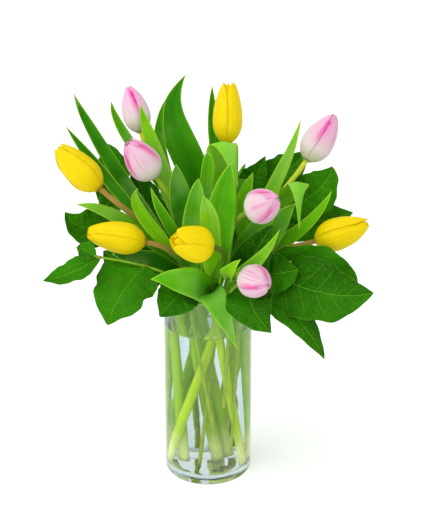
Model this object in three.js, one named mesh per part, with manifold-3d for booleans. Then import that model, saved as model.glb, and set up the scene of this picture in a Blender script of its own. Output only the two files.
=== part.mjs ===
// Ten cut tulips and nine sprays of dark foliage in a clear glass vase of water.
// Millimetres, +Z up, origin at the centre of the vase's underside.

import * as THREE from "three";
import { mergeVertices } from "three/addons/utils/BufferGeometryUtils.js";
import Module from "manifold-3d";

const wasm = await Module();
wasm.setup();

// Driving sizes

const VASE_DIAMETER = 101.6;
const VASE_HEIGHT = 237.5;
const WALL = 3.8;
const BASE = 10;
const CORNER = 2;
const WATER_LEVEL = 190.5;
const ROUND_SIDES = 36;

const FIT = 0.3;
const STEM_RADIUS = 4;
const TWIG_RADIUS = 1.7;
const STEM_SIDES = 6;
const STEM_STEPS = 8;
const FOOT_LIFT = 2;
const BLADE = 1;
const PETAL = 1;

const OUTER_RADIUS = VASE_DIAMETER / 2;
const INNER_RADIUS = OUTER_RADIUS - WALL;
const FOOT_LEVEL = BASE + FOOT_LIFT;

// Colours

const GLASS = new THREE.MeshStandardMaterial({
  color: 0xdce9e8,
  roughness: 0.05,
  metalness: 0,
  transparent: true,
  opacity: 0.35,
});
const WATER = new THREE.MeshStandardMaterial({
  color: 0xe4f0ee,
  roughness: 0.02,
  metalness: 0,
  transparent: true,
  opacity: 0.3,
});
const TULIP_GREEN = new THREE.MeshStandardMaterial({ color: 0x5fae2c, roughness: 0.45, metalness: 0 });
const DARK_GREEN = new THREE.MeshStandardMaterial({ color: 0x1d6b26, roughness: 0.4, metalness: 0 });
const YELLOW = new THREE.MeshStandardMaterial({ color: 0xf8d90f, roughness: 0.5, metalness: 0 });
const PINK = new THREE.MeshStandardMaterial({ color: 0xf3b3cf, roughness: 0.5, metalness: 0 });

// Tulips: foot and neck are x, y on the vase's floor and at its rim; head is where the bloom starts.
// A leaf row is: share of the way from neck to head, width, the way it faces, twist, points it passes.

const TULIPS = [
  {
    name: "yellow_1",
    petals: YELLOW,
    foot: [-21, -2],
    neck: [-31, 4],
    head: [-116, -22, 362],
    axis: [-0.73, 0.28, 0.62],
    length: 65,
    width: 35,
    mouth: 0.38,
    roll: 11,
    leaves: [
      [0.3, 19, [0.5, -0.8, 0.3], 20, [-115, 22, 389], [-147, 30, 456]],
      [0.55, 15, [-0.3, -0.9, 0.4], 10, [-121, 6, 378], [-155, 6, 426]],
      [0.15, 20, [0.1, -0.7, 0.7], 0, [-98, -18, 325], [-145, -18, 342]],
    ],
  },
  {
    name: "yellow_2",
    petals: YELLOW,
    foot: [8, 4],
    neck: [-20, -14],
    head: [-66, -52, 312],
    axis: [-0.98, -0.01, 0.19],
    length: 64,
    width: 34,
    mouth: 0.32,
    roll: 113,
    leaves: [
      [0.12, 30, [0, -0.55, 0.83], 0, [-72, -34, 281], [-106, -26, 287]],
      [0.4, 17, [0.5, -0.8, 0.3], 20, [-73, -46, 345], [-73, -50, 374]],
      [0.12, 27, [0.1, -0.95, 0.3], 0, [-14, -38, 342], [-10, -42, 382]],
      [0.15, 20, [0.3, -0.9, 0.3], 0, [-2, -22, 373], [-4, -22, 400]],
    ],
  },
  {
    name: "yellow_3",
    petals: YELLOW,
    foot: [36, -16],
    neck: [5, -39],
    head: [6, -84, 320],
    axis: [-0.88, -0.35, 0.32],
    length: 47,
    width: 38,
    mouth: 0.45,
    core: 0.65,
    roll: 125,
    leaves: [
      [0.1, 38, [-0.1, -0.95, 0.3], 12, [15, -44, 344], [25, -50, 403]],
      [0.2, 27, [0.3, -0.9, 0.3], 0, [1, -66, 338], [-5, -70, 373]],
      [0.05, 36, [0.05, -0.9, 0.43], 0, [-24, -84, 281], [-60, -104, 292]],
      [0.02, 32, [-0.1, -0.87, 0.48], 0, [9, -82, 257], [32, -96, 204]],
    ],
  },
  {
    name: "yellow_4",
    petals: YELLOW,
    foot: [-25, 28],
    neck: [4, 33],
    head: [21, 12, 401],
    axis: [0.02, 0.41, 0.91],
    length: 67,
    width: 32,
    mouth: 0.4,
    roll: 85,
    leaves: [
      [0.25, 38, [0.2, -0.9, 0.3], 25, [-24, 34, 378], [-39, 38, 430], [-23, 44, 473]],
      [0.5, 16, [0.3, -0.9, 0.3], 0, [6, 44, 407], [5, 52, 457]],
      [0.3, 38, [0, -0.84, -0.54], 0, [16, -2, 388], [20, -18, 413], [33, -44, 371]],
      [0.1, 30, [0.1, 0.8, 0.5], 10, [-4, 72, 325], [-9, 92, 367]],
      [0.35, 24, [0.3, 0.9, 0.3], 0, [21, 66, 327], [28, 92, 367]],
    ],
  },
  {
    name: "yellow_5",
    petals: YELLOW,
    foot: [30, 20],
    neck: [38, 6],
    head: [117, -28, 303],
    axis: [0.93, -0.07, 0.36],
    length: 62,
    width: 35,
    mouth: 0.22,
    roll: 42,
    leaves: [
      [0.2, 17, [-0.3, -0.9, 0.4], -10, [105, -16, 314], [135, -20, 360]],
      [0.08, 32, [-0.1, -0.95, 0.3], -10, [71, -14, 310], [96, -20, 345]],
    ],
  },
  {
    name: "pink_1",
    petals: PINK,
    foot: [-38, 9],
    neck: [-22, 24],
    head: [-73, 22, 411],
    axis: [-0.27, 0.51, 0.81],
    length: 54,
    width: 30,
    mouth: 0.15,
    roll: 104,
    leaves: [
      [0.55, 13, [0.2, -0.9, 0.3], 0, [-93, 36, 406], [-106, 42, 442]],
      [0.35, 17, [0.3, -0.9, 0.3], 15, [-53, 24, 392], [-45, 26, 450]],
      [0.15, 38, [-0.1, -0.9, 0.4], 0, [-54, 52, 300], [-86, 66, 338]],
    ],
  },
  {
    name: "pink_2",
    petals: PINK,
    foot: [14, 14],
    neck: [-10, 6],
    head: [-56, -14, 372],
    axis: [-0.58, -0.1, 0.81],
    length: 51,
    width: 36,
    mouth: 0.3,
    roll: 41,
    leaves: [
      [0.3, 22, [0.25, -0.9, 0.3], 15, [-56, 9, 387], [-73, 12, 448]],
      [0.15, 15, [0.3, -0.9, 0.3], 0, [-46, -32, 330], [-61, -38, 371]],
      [0.1, 30, [-0.1, -0.95, 0.3], -10, [-29, -14, 346], [-34, -12, 387]],
    ],
  },
  {
    name: "pink_3",
    petals: PINK,
    foot: [4, 38],
    neck: [26, 22],
    head: [108, 14, 381],
    axis: [0.54, 0.34, 0.77],
    length: 60,
    width: 35,
    mouth: 0.15,
    roll: 76,
    leaves: [
      [0.1, 22, [-0.3, -0.9, 0.3], 0, [40, 4, 333], [50, 4, 372]],
      [0.25, 18, [-0.4, -0.9, 0.3], -15, [79, 22, 358], [103, 26, 428]],
      [0.6, 33, [0, -0.39, -0.92], 0, [92, -2, 356], [99, -20, 366], [99, -46, 322]],
      [0.05, 28, [0.3, 0.8, 0.5], 10, [32, 72, 312], [44, 90, 352]],
    ],
  },
  {
    name: "pink_4",
    petals: PINK,
    foot: [41, -2],
    neck: [29, -8],
    head: [44, -58, 350],
    axis: [0.68, -0.5, 0.54],
    length: 43,
    width: 37,
    mouth: 0.1,
    roll: 98,
    leaves: [[0.2, 26, [-0.1, -0.95, 0.3], -10, [57, -30, 322], [75, -36, 360]]],
  },
  {
    name: "pink_5",
    petals: PINK,
    foot: [-40, -9],
    neck: [19, -27],
    head: [38, -88, 287],
    axis: [0.6, -0.78, 0.12],
    length: 41,
    width: 35,
    mouth: 0.1,
    roll: 42,
    leaves: [
      [0.4, 17, [-0.3, -0.9, 0.3], 0, [53, -72, 298], [76, -86, 342]],
      [0.4, 18, [0, -0.9, 0.4], 0, [22, -96, 299], [35, -108, 317]],
    ],
  },
];

// Sprays: the twig goes from its foot through its neck to two more points; leaf rows as above.

const SPRAYS = [
  {
    name: "left_front",
    foot: [7, -33, 62],
    neck: [-20, -37],
    twig: [[-92, -70, 297], [-119, -78, 307]],
    leaves: [
      [0.95, 27, [0, -0.66, 0.75], 0, [-147, -84, 290], [-175, -92, 285]],
      [0.55, 68, [-0.3, -0.8, 0.5], 0, [-92, -89, 268], [-107, -104, 238]],
      [1, 20, [0, -0.8, 0.6], 0, [-132, -70, 311], [-140, -70, 314]],
      [0.12, 49, [0, -0.86, 0.51], 0, [-35, -79, 258], [-52, -90, 241]],
    ],
  },
  {
    name: "left_back",
    foot: [-43, 2, 12],
    neck: [-42, 4],
    twig: [[-93, 6, 312], [-116, 10, 330]],
    leaves: [
      [0.7, 44, [-0.1, -0.8, 0.6], 0, [-136, -4, 309], [-158, -6, 329]],
      [0.9, 34, [0, -0.87, 0.5], 0, [-110, 14, 335], [-122, 18, 346]],
      [1, 42, [0, -0.9, 0.4], 0, [-108, 40, 361], [-117, 52, 390]],
      [0.6, 44, [0, -0.9, 0.4], 0, [-72, 36, 324], [-88, 46, 362]],
      [0.25, 54, [0, -0.9, 0.4], 0, [-86, -14, 268], [-117, -10, 284]],
    ],
  },
  {
    name: "back",
    foot: [13, 41, 12],
    neck: [14, 40],
    twig: [[42, 44, 336], [50, 50, 358]],
    leaves: [
      [0.9, 34, [0.1, -0.87, 0.5], 0, [52, 40, 352], [65, 44, 377]],
      [0.75, 42, [0.1, -0.8, 0.6], 0, [87, 50, 356], [111, 54, 380]],
      [0.7, 44, [0, 0.8, 0.6], 0, [82, 84, 334], [108, 102, 356]],
    ],
  },
  {
    name: "right_back",
    foot: [42, 9, 12],
    neck: [41, 13],
    twig: [[75, 10, 319], [103, 14, 335]],
    leaves: [
      [0.8, 52, [0, -0.84, 0.54], 0, [122, 6, 350], [137, 10, 377]],
      [0.6, 46, [0, -0.8, 0.6], 0, [121, 16, 308], [164, 20, 318]],
    ],
  },
  {
    name: "right_front",
    foot: [25, -34, 40],
    neck: [34, -23],
    twig: [[70, -50, 281], [91, -56, 291]],
    leaves: [
      [0.58, 50, [0, -0.95, 0.3], 0, [121, -57, 285], [163, -66, 271]],
      [0.6, 72, [0.05, -0.86, 0.5], 0, [123, -80, 265], [177, -92, 271]],
      [0.45, 48, [0, -0.9, 0.4], 0, [77, -60, 279], [98, -66, 287]],
      [0.25, 34, [0.2, -0.9, 0.4], 0, [92, -84, 241], [127, -98, 193]],
      [0.15, 42, [0, -0.9, 0.4], 0, [50, -56, 298], [70, -58, 336]],
    ],
  },
  {
    name: "front",
    foot: [17, -40, 100],
    neck: [24, -34],
    twig: [[42, -64, 272], [52, -80, 270]],
    leaves: [[0.9, 52, [0, -0.9, 0.4], 0, [47, -98, 258], [68, -112, 233]]],
  },
  {
    name: "middle",
    foot: [-8, -12, 12],
    neck: [11, -8],
    twig: [[20, -5, 262], [24, -5, 276]],
    leaves: [[0.4, 49, [0, -0.9, 0.4], 0, [14, -4, 291], [0, -4, 328]]],
  },
  {
    name: "back_left",
    foot: [-6, 41, 12],
    neck: [-12, 37],
    twig: [[-57, 84, 269], [-82, 104, 280]],
    leaves: [
      [0.9, 46, [-0.3, 0.7, 0.7], 0, [-100, 112, 264], [-127, 124, 263]],
      [0.7, 50, [0, 0.8, 0.6], 0, [-46, 110, 284], [-52, 130, 315]],
    ],
  },
  {
    name: "back_right",
    foot: [26, 34, 12],
    neck: [28, 28],
    twig: [[38, 84, 269], [64, 104, 280]],
    leaves: [
      [0.9, 48, [0.3, 0.7, 0.7], 0, [93, 112, 271], [118, 124, 279]],
      [0.7, 52, [0, 0.8, 0.6], 0, [38, 112, 284], [44, 132, 315]],
    ],
  },
];

// Leaf kinds: half width from base to tip as a share of the widest, rows along and strips across,
// and how many waves run down each edge.

const TULIP_LEAF = {
  outline: (s) => ((s + 0.04) ** 0.4 * (1 - s ** 1.8)) / 0.6235,
  rows: 6,
  fold: (width) => 0.45 - 0.006 * width,
  wave: (width) => 0.03 + 0.0012 * width,
  waves: 1.5,
};
const BROAD_LEAF = {
  outline: (s) => ((s + 0.004) ** 0.62 * (1 - s)) / 0.3425,
  rows: 7,
  fold: () => 0.22,
  wave: () => 0.08,
  waves: 2.5,
};
const LEAF_END = 0.985;

// Solids and meshes

const vector = (xyz) => new THREE.Vector3(...xyz);

function solidOf(geometry) {
  for (const name of ["normal", "uv"]) {
    geometry.deleteAttribute(name);
  }
  const merged = mergeVertices(geometry, 1e-4);
  const corners = merged.index.array;
  const triVerts = [];
  for (let i = 0; i < corners.length; i += 3) {
    const [a, b, c] = corners.slice(i, i + 3);
    if (a !== b && b !== c && c !== a) {
      triVerts.push(a, b, c);
    }
  }
  const mesh = new wasm.Mesh({
    numProp: 3,
    vertProperties: merged.attributes.position.array,
    triVerts: new Uint32Array(triVerts),
  });
  return new wasm.Manifold(mesh);
}

function joined(solids) {
  return solids.reduce((whole, next) => whole.add(next));
}

function meshOf(name, solid, material) {
  const { vertProperties, triVerts } = solid.getMesh();
  const geometry = new THREE.BufferGeometry();
  geometry.setAttribute("position", new THREE.BufferAttribute(vertProperties, 3));
  geometry.setIndex(new THREE.BufferAttribute(triVerts, 1));
  geometry.computeVertexNormals();
  const mesh = new THREE.Mesh(geometry, material);
  mesh.name = name;
  return mesh;
}

// The vase and its water are turned about the upright axis.

function turned(profile) {
  const points = profile.map(([radius, height]) => new THREE.Vector2(radius, height));
  const geometry = new THREE.LatheGeometry(points, ROUND_SIDES);
  geometry.rotateX(Math.PI / 2);
  return solidOf(geometry);
}

function vaseSolid() {
  return turned([
    [0, 0],
    [OUTER_RADIUS - CORNER, 0],
    [OUTER_RADIUS, CORNER],
    [OUTER_RADIUS, VASE_HEIGHT - 1],
    [OUTER_RADIUS - 1, VASE_HEIGHT],
    [INNER_RADIUS + 1, VASE_HEIGHT],
    [INNER_RADIUS, VASE_HEIGHT - 1],
    [INNER_RADIUS, BASE + CORNER],
    [INNER_RADIUS - CORNER, BASE],
    [0, BASE],
  ]);
}

function waterSolid(holes) {
  const radius = INNER_RADIUS - FIT;
  const bottom = BASE + FIT;
  const body = turned([
    [0, bottom],
    [radius - CORNER, bottom],
    [radius, bottom + CORNER],
    [radius, WATER_LEVEL],
    [0, WATER_LEVEL],
  ]);
  return body.subtract(joined(holes));
}

// Stems and twigs: straight from the foot to the neck, then one smooth bend to the end.

function tube(path, radius, steps) {
  const corners = [];
  for (let i = 0; i < STEM_SIDES; i += 1) {
    const turn = (2 * Math.PI * i) / STEM_SIDES;
    corners.push(new THREE.Vector2(radius * Math.cos(turn), radius * Math.sin(turn)));
  }
  return solidOf(new THREE.ExtrudeGeometry(new THREE.Shape(corners), { steps, extrudePath: path }));
}

function stemPath(foot, neck, bend) {
  const path = new THREE.CurvePath();
  path.add(new THREE.LineCurve3(foot, neck));
  path.add(bend);
  return path;
}

function stemHole(foot, neck, radius) {
  const below = foot.clone().addScaledVector(neck.clone().sub(foot).normalize(), -2 * BASE);
  const clearance = FIT / Math.cos(Math.PI / STEM_SIDES);
  return tube(new THREE.LineCurve3(below, neck), radius + clearance, 1);
}

function flowerBend(foot, neck, head, axis) {
  const rise = neck.clone().sub(foot).normalize();
  const reach = neck.distanceTo(head);
  const start = neck.clone().addScaledVector(rise, 0.38 * reach);
  const end = head.clone().addScaledVector(axis, -0.36 * reach);
  return new THREE.CubicBezierCurve3(neck, start, end, head);
}

function twigBend(foot, neck, middle, tip) {
  const rise = neck.clone().sub(foot).normalize();
  const start = neck.clone().addScaledVector(rise, 0.4 * neck.distanceTo(middle));
  return new THREE.CubicBezierCurve3(neck, start, middle, tip);
}

// Leaves

function curveThrough(points) {
  const blend = (shares) =>
    shares.reduce((sum, share, i) => sum.addScaledVector(points[i], share), new THREE.Vector3());
  if (points.length === 3) {
    return new THREE.QuadraticBezierCurve3(points[0], blend([-0.5, 2, -0.5]), points[2]);
  }
  const first = blend([-5 / 6, 3, -1.5, 1 / 3]);
  const second = blend([1 / 3, -1.5, 3, -5 / 6]);
  return new THREE.CubicBezierCurve3(points[0], first, second, points[3]);
}

// A closed blade round a grid of points: the two faces are split alike, and a rim joins them.

function shell(grid, thickness) {
  const rows = grid.length;
  const columns = grid[0].length;
  const at = (i, j) => grid[THREE.MathUtils.clamp(i, 0, rows - 1)][THREE.MathUtils.clamp(j, 0, columns - 1)];
  const top = [];
  const bottom = [];
  for (let i = 0; i < rows; i += 1) {
    for (let j = 0; j < columns; j += 1) {
      const across = at(i, j + 1).clone().sub(at(i, j - 1));
      const along = at(i + 1, j).clone().sub(at(i - 1, j));
      const offset = across.cross(along).normalize().multiplyScalar(thickness / 2);
      top.push(...at(i, j).clone().add(offset));
      bottom.push(...at(i, j).clone().sub(offset));
    }
  }
  const under = rows * columns;
  const index = [];
  for (let i = 0; i + 1 < rows; i += 1) {
    for (let j = 0; j + 1 < columns; j += 1) {
      const a = i * columns + j;
      const b = a + 1;
      const c = b + columns;
      const d = a + columns;
      index.push(a, b, c, a, c, d);
      index.push(under + a, under + c, under + b, under + a, under + d, under + c);
    }
  }
  const rim = [];
  for (let j = 0; j < columns; j += 1) rim.push(j);
  for (let i = 1; i < rows; i += 1) rim.push(i * columns + columns - 1);
  for (let j = columns - 2; j >= 0; j -= 1) rim.push((rows - 1) * columns + j);
  for (let i = rows - 2; i > 0; i -= 1) rim.push(i * columns);
  rim.forEach((p, k) => {
    const q = rim[(k + 1) % rim.length];
    index.push(p, under + p, under + q, p, under + q, q);
  });
  const geometry = new THREE.BufferGeometry();
  geometry.setAttribute("position", new THREE.Float32BufferAttribute([...top, ...bottom], 3));
  geometry.setIndex(index);
  return solidOf(geometry);
}

// The midrib runs along the curve; each row lies across it, folded up towards its edges and waved.

function leafSolid(kind, base, [, width, face, twist, ...points]) {
  const curve = curveThrough([base, ...points.map(vector)]);
  const tip = vector(points.at(-1));
  const side = tip.clone().sub(base).normalize().cross(vector(face)).normalize();
  const fold = kind.fold(width);
  const flatness = 1 / Math.sqrt(1 + 0.8 * fold * fold);
  const phase = 0.1 * tip.x;
  const grid = [];
  for (let i = 0; i <= kind.rows; i += 1) {
    const s = (LEAF_END * i) / kind.rows;
    const along = curve.getTangent(s);
    const across = side.clone().addScaledVector(along, -along.dot(side)).normalize();
    across.applyAxisAngle(along, -THREE.MathUtils.degToRad(twist) * (s - 0.35));
    const up = across.clone().cross(along);
    const half = (width / 2) * kind.outline(s);
    grid.push(
      [-1, 0, 1].map((v) => {
        const wave = kind.wave(width) * Math.sin(2 * Math.PI * kind.waves * s + phase + 1.9 * v);
        const rise = half * Math.abs(v) * (fold + wave);
        return curve
          .getPoint(s)
          .addScaledVector(across, half * v * flatness)
          .addScaledVector(up, rise);
      }),
    );
  }
  return shell(grid, BLADE);
}

// Blooms: three outer petals round three inner ones on a small green seat.

const OUTER_ROWS = 4;
const OUTER_STRIPS = 3;
const INNER_ROWS = 2;
const INNER_STRIPS = 2;
const PETAL_END = 0.985;
const PETAL_REACH = THREE.MathUtils.degToRad(58);
const WIDEST = 0.36;
const INNER_MOUTH = 0.8;
const LAYER = 2.6;
const OUTER_ROOT = 4.4;
const INNER_ROOT = 2;
const SEAT_RADIUS = 6.4;
const SEAT_HEIGHT = 4.5;

function cupRadius(s, mouth) {
  if (s < WIDEST) {
    return Math.sin(((s / WIDEST) * Math.PI) / 2) ** 0.5;
  }
  return 1 - (1 - mouth) * ((s - WIDEST) / (1 - WIDEST)) ** 2.1;
}

function petalSolid({ length, width, mouth, core = INNER_MOUTH }, turn, inner) {
  const layer = inner ? LAYER : 0;
  const top = inner ? core * mouth : mouth;
  const root = inner ? INNER_ROOT : OUTER_ROOT;
  const rows = inner ? INNER_ROWS : OUTER_ROWS;
  const strips = inner ? INNER_STRIPS : OUTER_STRIPS;
  const grid = [];
  for (let i = 0; i <= rows; i += 1) {
    const s = PETAL_END * (i / rows) ** 1.1;
    const radius = Math.max((width / 2) * cupRadius(s, top) - layer, root);
    const reach = PETAL_REACH * (1.002 - s ** 8) ** 0.55;
    const row = [];
    for (let j = 0; j <= strips; j += 1) {
      const angle = turn + reach * ((2 * j) / strips - 1);
      row.push(new THREE.Vector3(radius * Math.cos(angle), radius * Math.sin(angle), length * s + 1));
    }
    grid.push(row);
  }
  return shell(grid, PETAL);
}

function bloomSolid(flower) {
  const seat = new THREE.CylinderGeometry(SEAT_RADIUS, STEM_RADIUS, SEAT_HEIGHT, STEM_SIDES);
  seat.rotateX(Math.PI / 2);
  seat.translate(0, 0, SEAT_HEIGHT / 2 + FIT);
  const solids = [solidOf(seat)];
  const roll = THREE.MathUtils.degToRad(flower.roll);
  for (let k = 0; k < 3; k += 1) {
    const turn = roll + (2 * Math.PI * k) / 3;
    solids.push(petalSolid(flower, turn, false));
    solids.push(petalSolid(flower, turn + Math.PI / 3, true));
  }
  return joined(solids);
}

function bloomMesh(flower) {
  const mesh = meshOf("bloom_" + flower.name, bloomSolid(flower), flower.petals);
  const upright = new THREE.Vector3(0, 0, 1);
  mesh.quaternion.setFromUnitVectors(upright, vector(flower.axis).normalize());
  mesh.position.set(...flower.head);
  return mesh;
}

// Assembly

const bouquet = new THREE.Group();
const holes = [];

bouquet.add(meshOf("vase", vaseSolid(), GLASS));

for (const flower of TULIPS) {
  const foot = vector([...flower.foot, FOOT_LEVEL]);
  const neck = vector([...flower.neck, VASE_HEIGHT]);
  const bend = flowerBend(foot, neck, vector(flower.head), vector(flower.axis).normalize());
  const stem = tube(stemPath(foot, neck, bend), STEM_RADIUS, STEM_STEPS);
  const leaves = flower.leaves.map((row) => leafSolid(TULIP_LEAF, bend.getPoint(row[0]), row));
  bouquet.add(meshOf("stem_" + flower.name, joined([stem, ...leaves]), TULIP_GREEN));
  bouquet.add(bloomMesh(flower));
  holes.push(stemHole(foot, neck, STEM_RADIUS));
}

for (const spray of SPRAYS) {
  const foot = vector(spray.foot);
  const neck = vector([...spray.neck, VASE_HEIGHT]);
  const bend = twigBend(foot, neck, ...spray.twig.map(vector));
  const twig = tube(stemPath(foot, neck, bend), TWIG_RADIUS, STEM_STEPS);
  const leaves = spray.leaves.map((row) => leafSolid(BROAD_LEAF, bend.getPoint(row[0]), row));
  bouquet.add(meshOf("spray_" + spray.name, joined([twig, ...leaves]), DARK_GREEN));
  holes.push(stemHole(foot, neck, TWIG_RADIUS));
}

bouquet.add(meshOf("water", waterSolid(holes), WATER));

export default bouquet;
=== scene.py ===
# %% [markdown]
# # Tulips in a glass vase
#
# Ten cut tulips and some broad dark foliage stand in a glass cylinder, four fifths full of water. In this
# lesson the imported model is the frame: it says where each stem, leaf and bloom is. Every step below makes
# the finer surface of one kind of piece from a formula, gives it a material, and sets it in place of its
# plain solid.

import math
from types import SimpleNamespace

import bpy
import numpy as np
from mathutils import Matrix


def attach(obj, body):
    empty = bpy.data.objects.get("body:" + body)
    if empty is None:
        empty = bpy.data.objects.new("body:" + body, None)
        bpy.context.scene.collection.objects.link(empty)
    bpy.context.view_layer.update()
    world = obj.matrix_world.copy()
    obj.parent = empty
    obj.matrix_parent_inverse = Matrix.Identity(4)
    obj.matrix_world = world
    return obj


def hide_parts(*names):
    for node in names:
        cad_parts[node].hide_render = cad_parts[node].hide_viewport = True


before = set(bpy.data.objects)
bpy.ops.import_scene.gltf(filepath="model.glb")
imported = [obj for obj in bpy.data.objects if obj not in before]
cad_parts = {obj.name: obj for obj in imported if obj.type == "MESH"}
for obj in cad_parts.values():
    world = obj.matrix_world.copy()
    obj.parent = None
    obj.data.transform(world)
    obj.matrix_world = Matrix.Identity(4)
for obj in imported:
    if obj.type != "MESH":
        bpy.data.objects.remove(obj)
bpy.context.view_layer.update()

# %% [markdown]
# ## The measured plan
#
# A bouquet is easiest to describe by a few points on each stem: where its foot stands, where it passes the
# rim, and where it ends. These are millimetres measured on the object, with Z up and the middle of the
# vase's underside as the origin. The foot of a twig has its height too, because some twigs are held up by
# the bunch.
#
# A leaf is one row: how far up the bend of its stem it grows, its width, the way that it faces, its twist in
# degrees, and then the points that it passes, the last of them its tip. The tones of a flower or spray go
# with its leaves, from 0 for deep green to 2 for yellow green. A flower's last line also gives the colour of
# its stem under the bloom, the roll of the bloom about its axis in degrees, its mouth as a share of its
# widest place, how far its petals may lean in or out, and how strongly it blushes, which is 0 on a yellow
# one. A core is the mouth of the inner petals as a share of the outer ones', where that isn't 0.8.

# %% Sizes and places, in millimetres
MM = 0.001

VASE_RADIUS = 50.8
VASE_HEIGHT = 237.5
WALL = 3.8
BASE = 10.0
WATER_LEVEL = 190.5
FOOT_LEVEL = BASE + 2.0
STEM_RADIUS = 4.0
TWIG_RADIUS = 1.7

TAN = (0.42, 0.25, 0.06)
LIME = (0.36, 0.56, 0.03)
STRAW = (0.62, 0.66, 0.05)
OLIVE = (0.24, 0.36, 0.03)
SHADE = (0.12, 0.18, 0.02)

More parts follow.
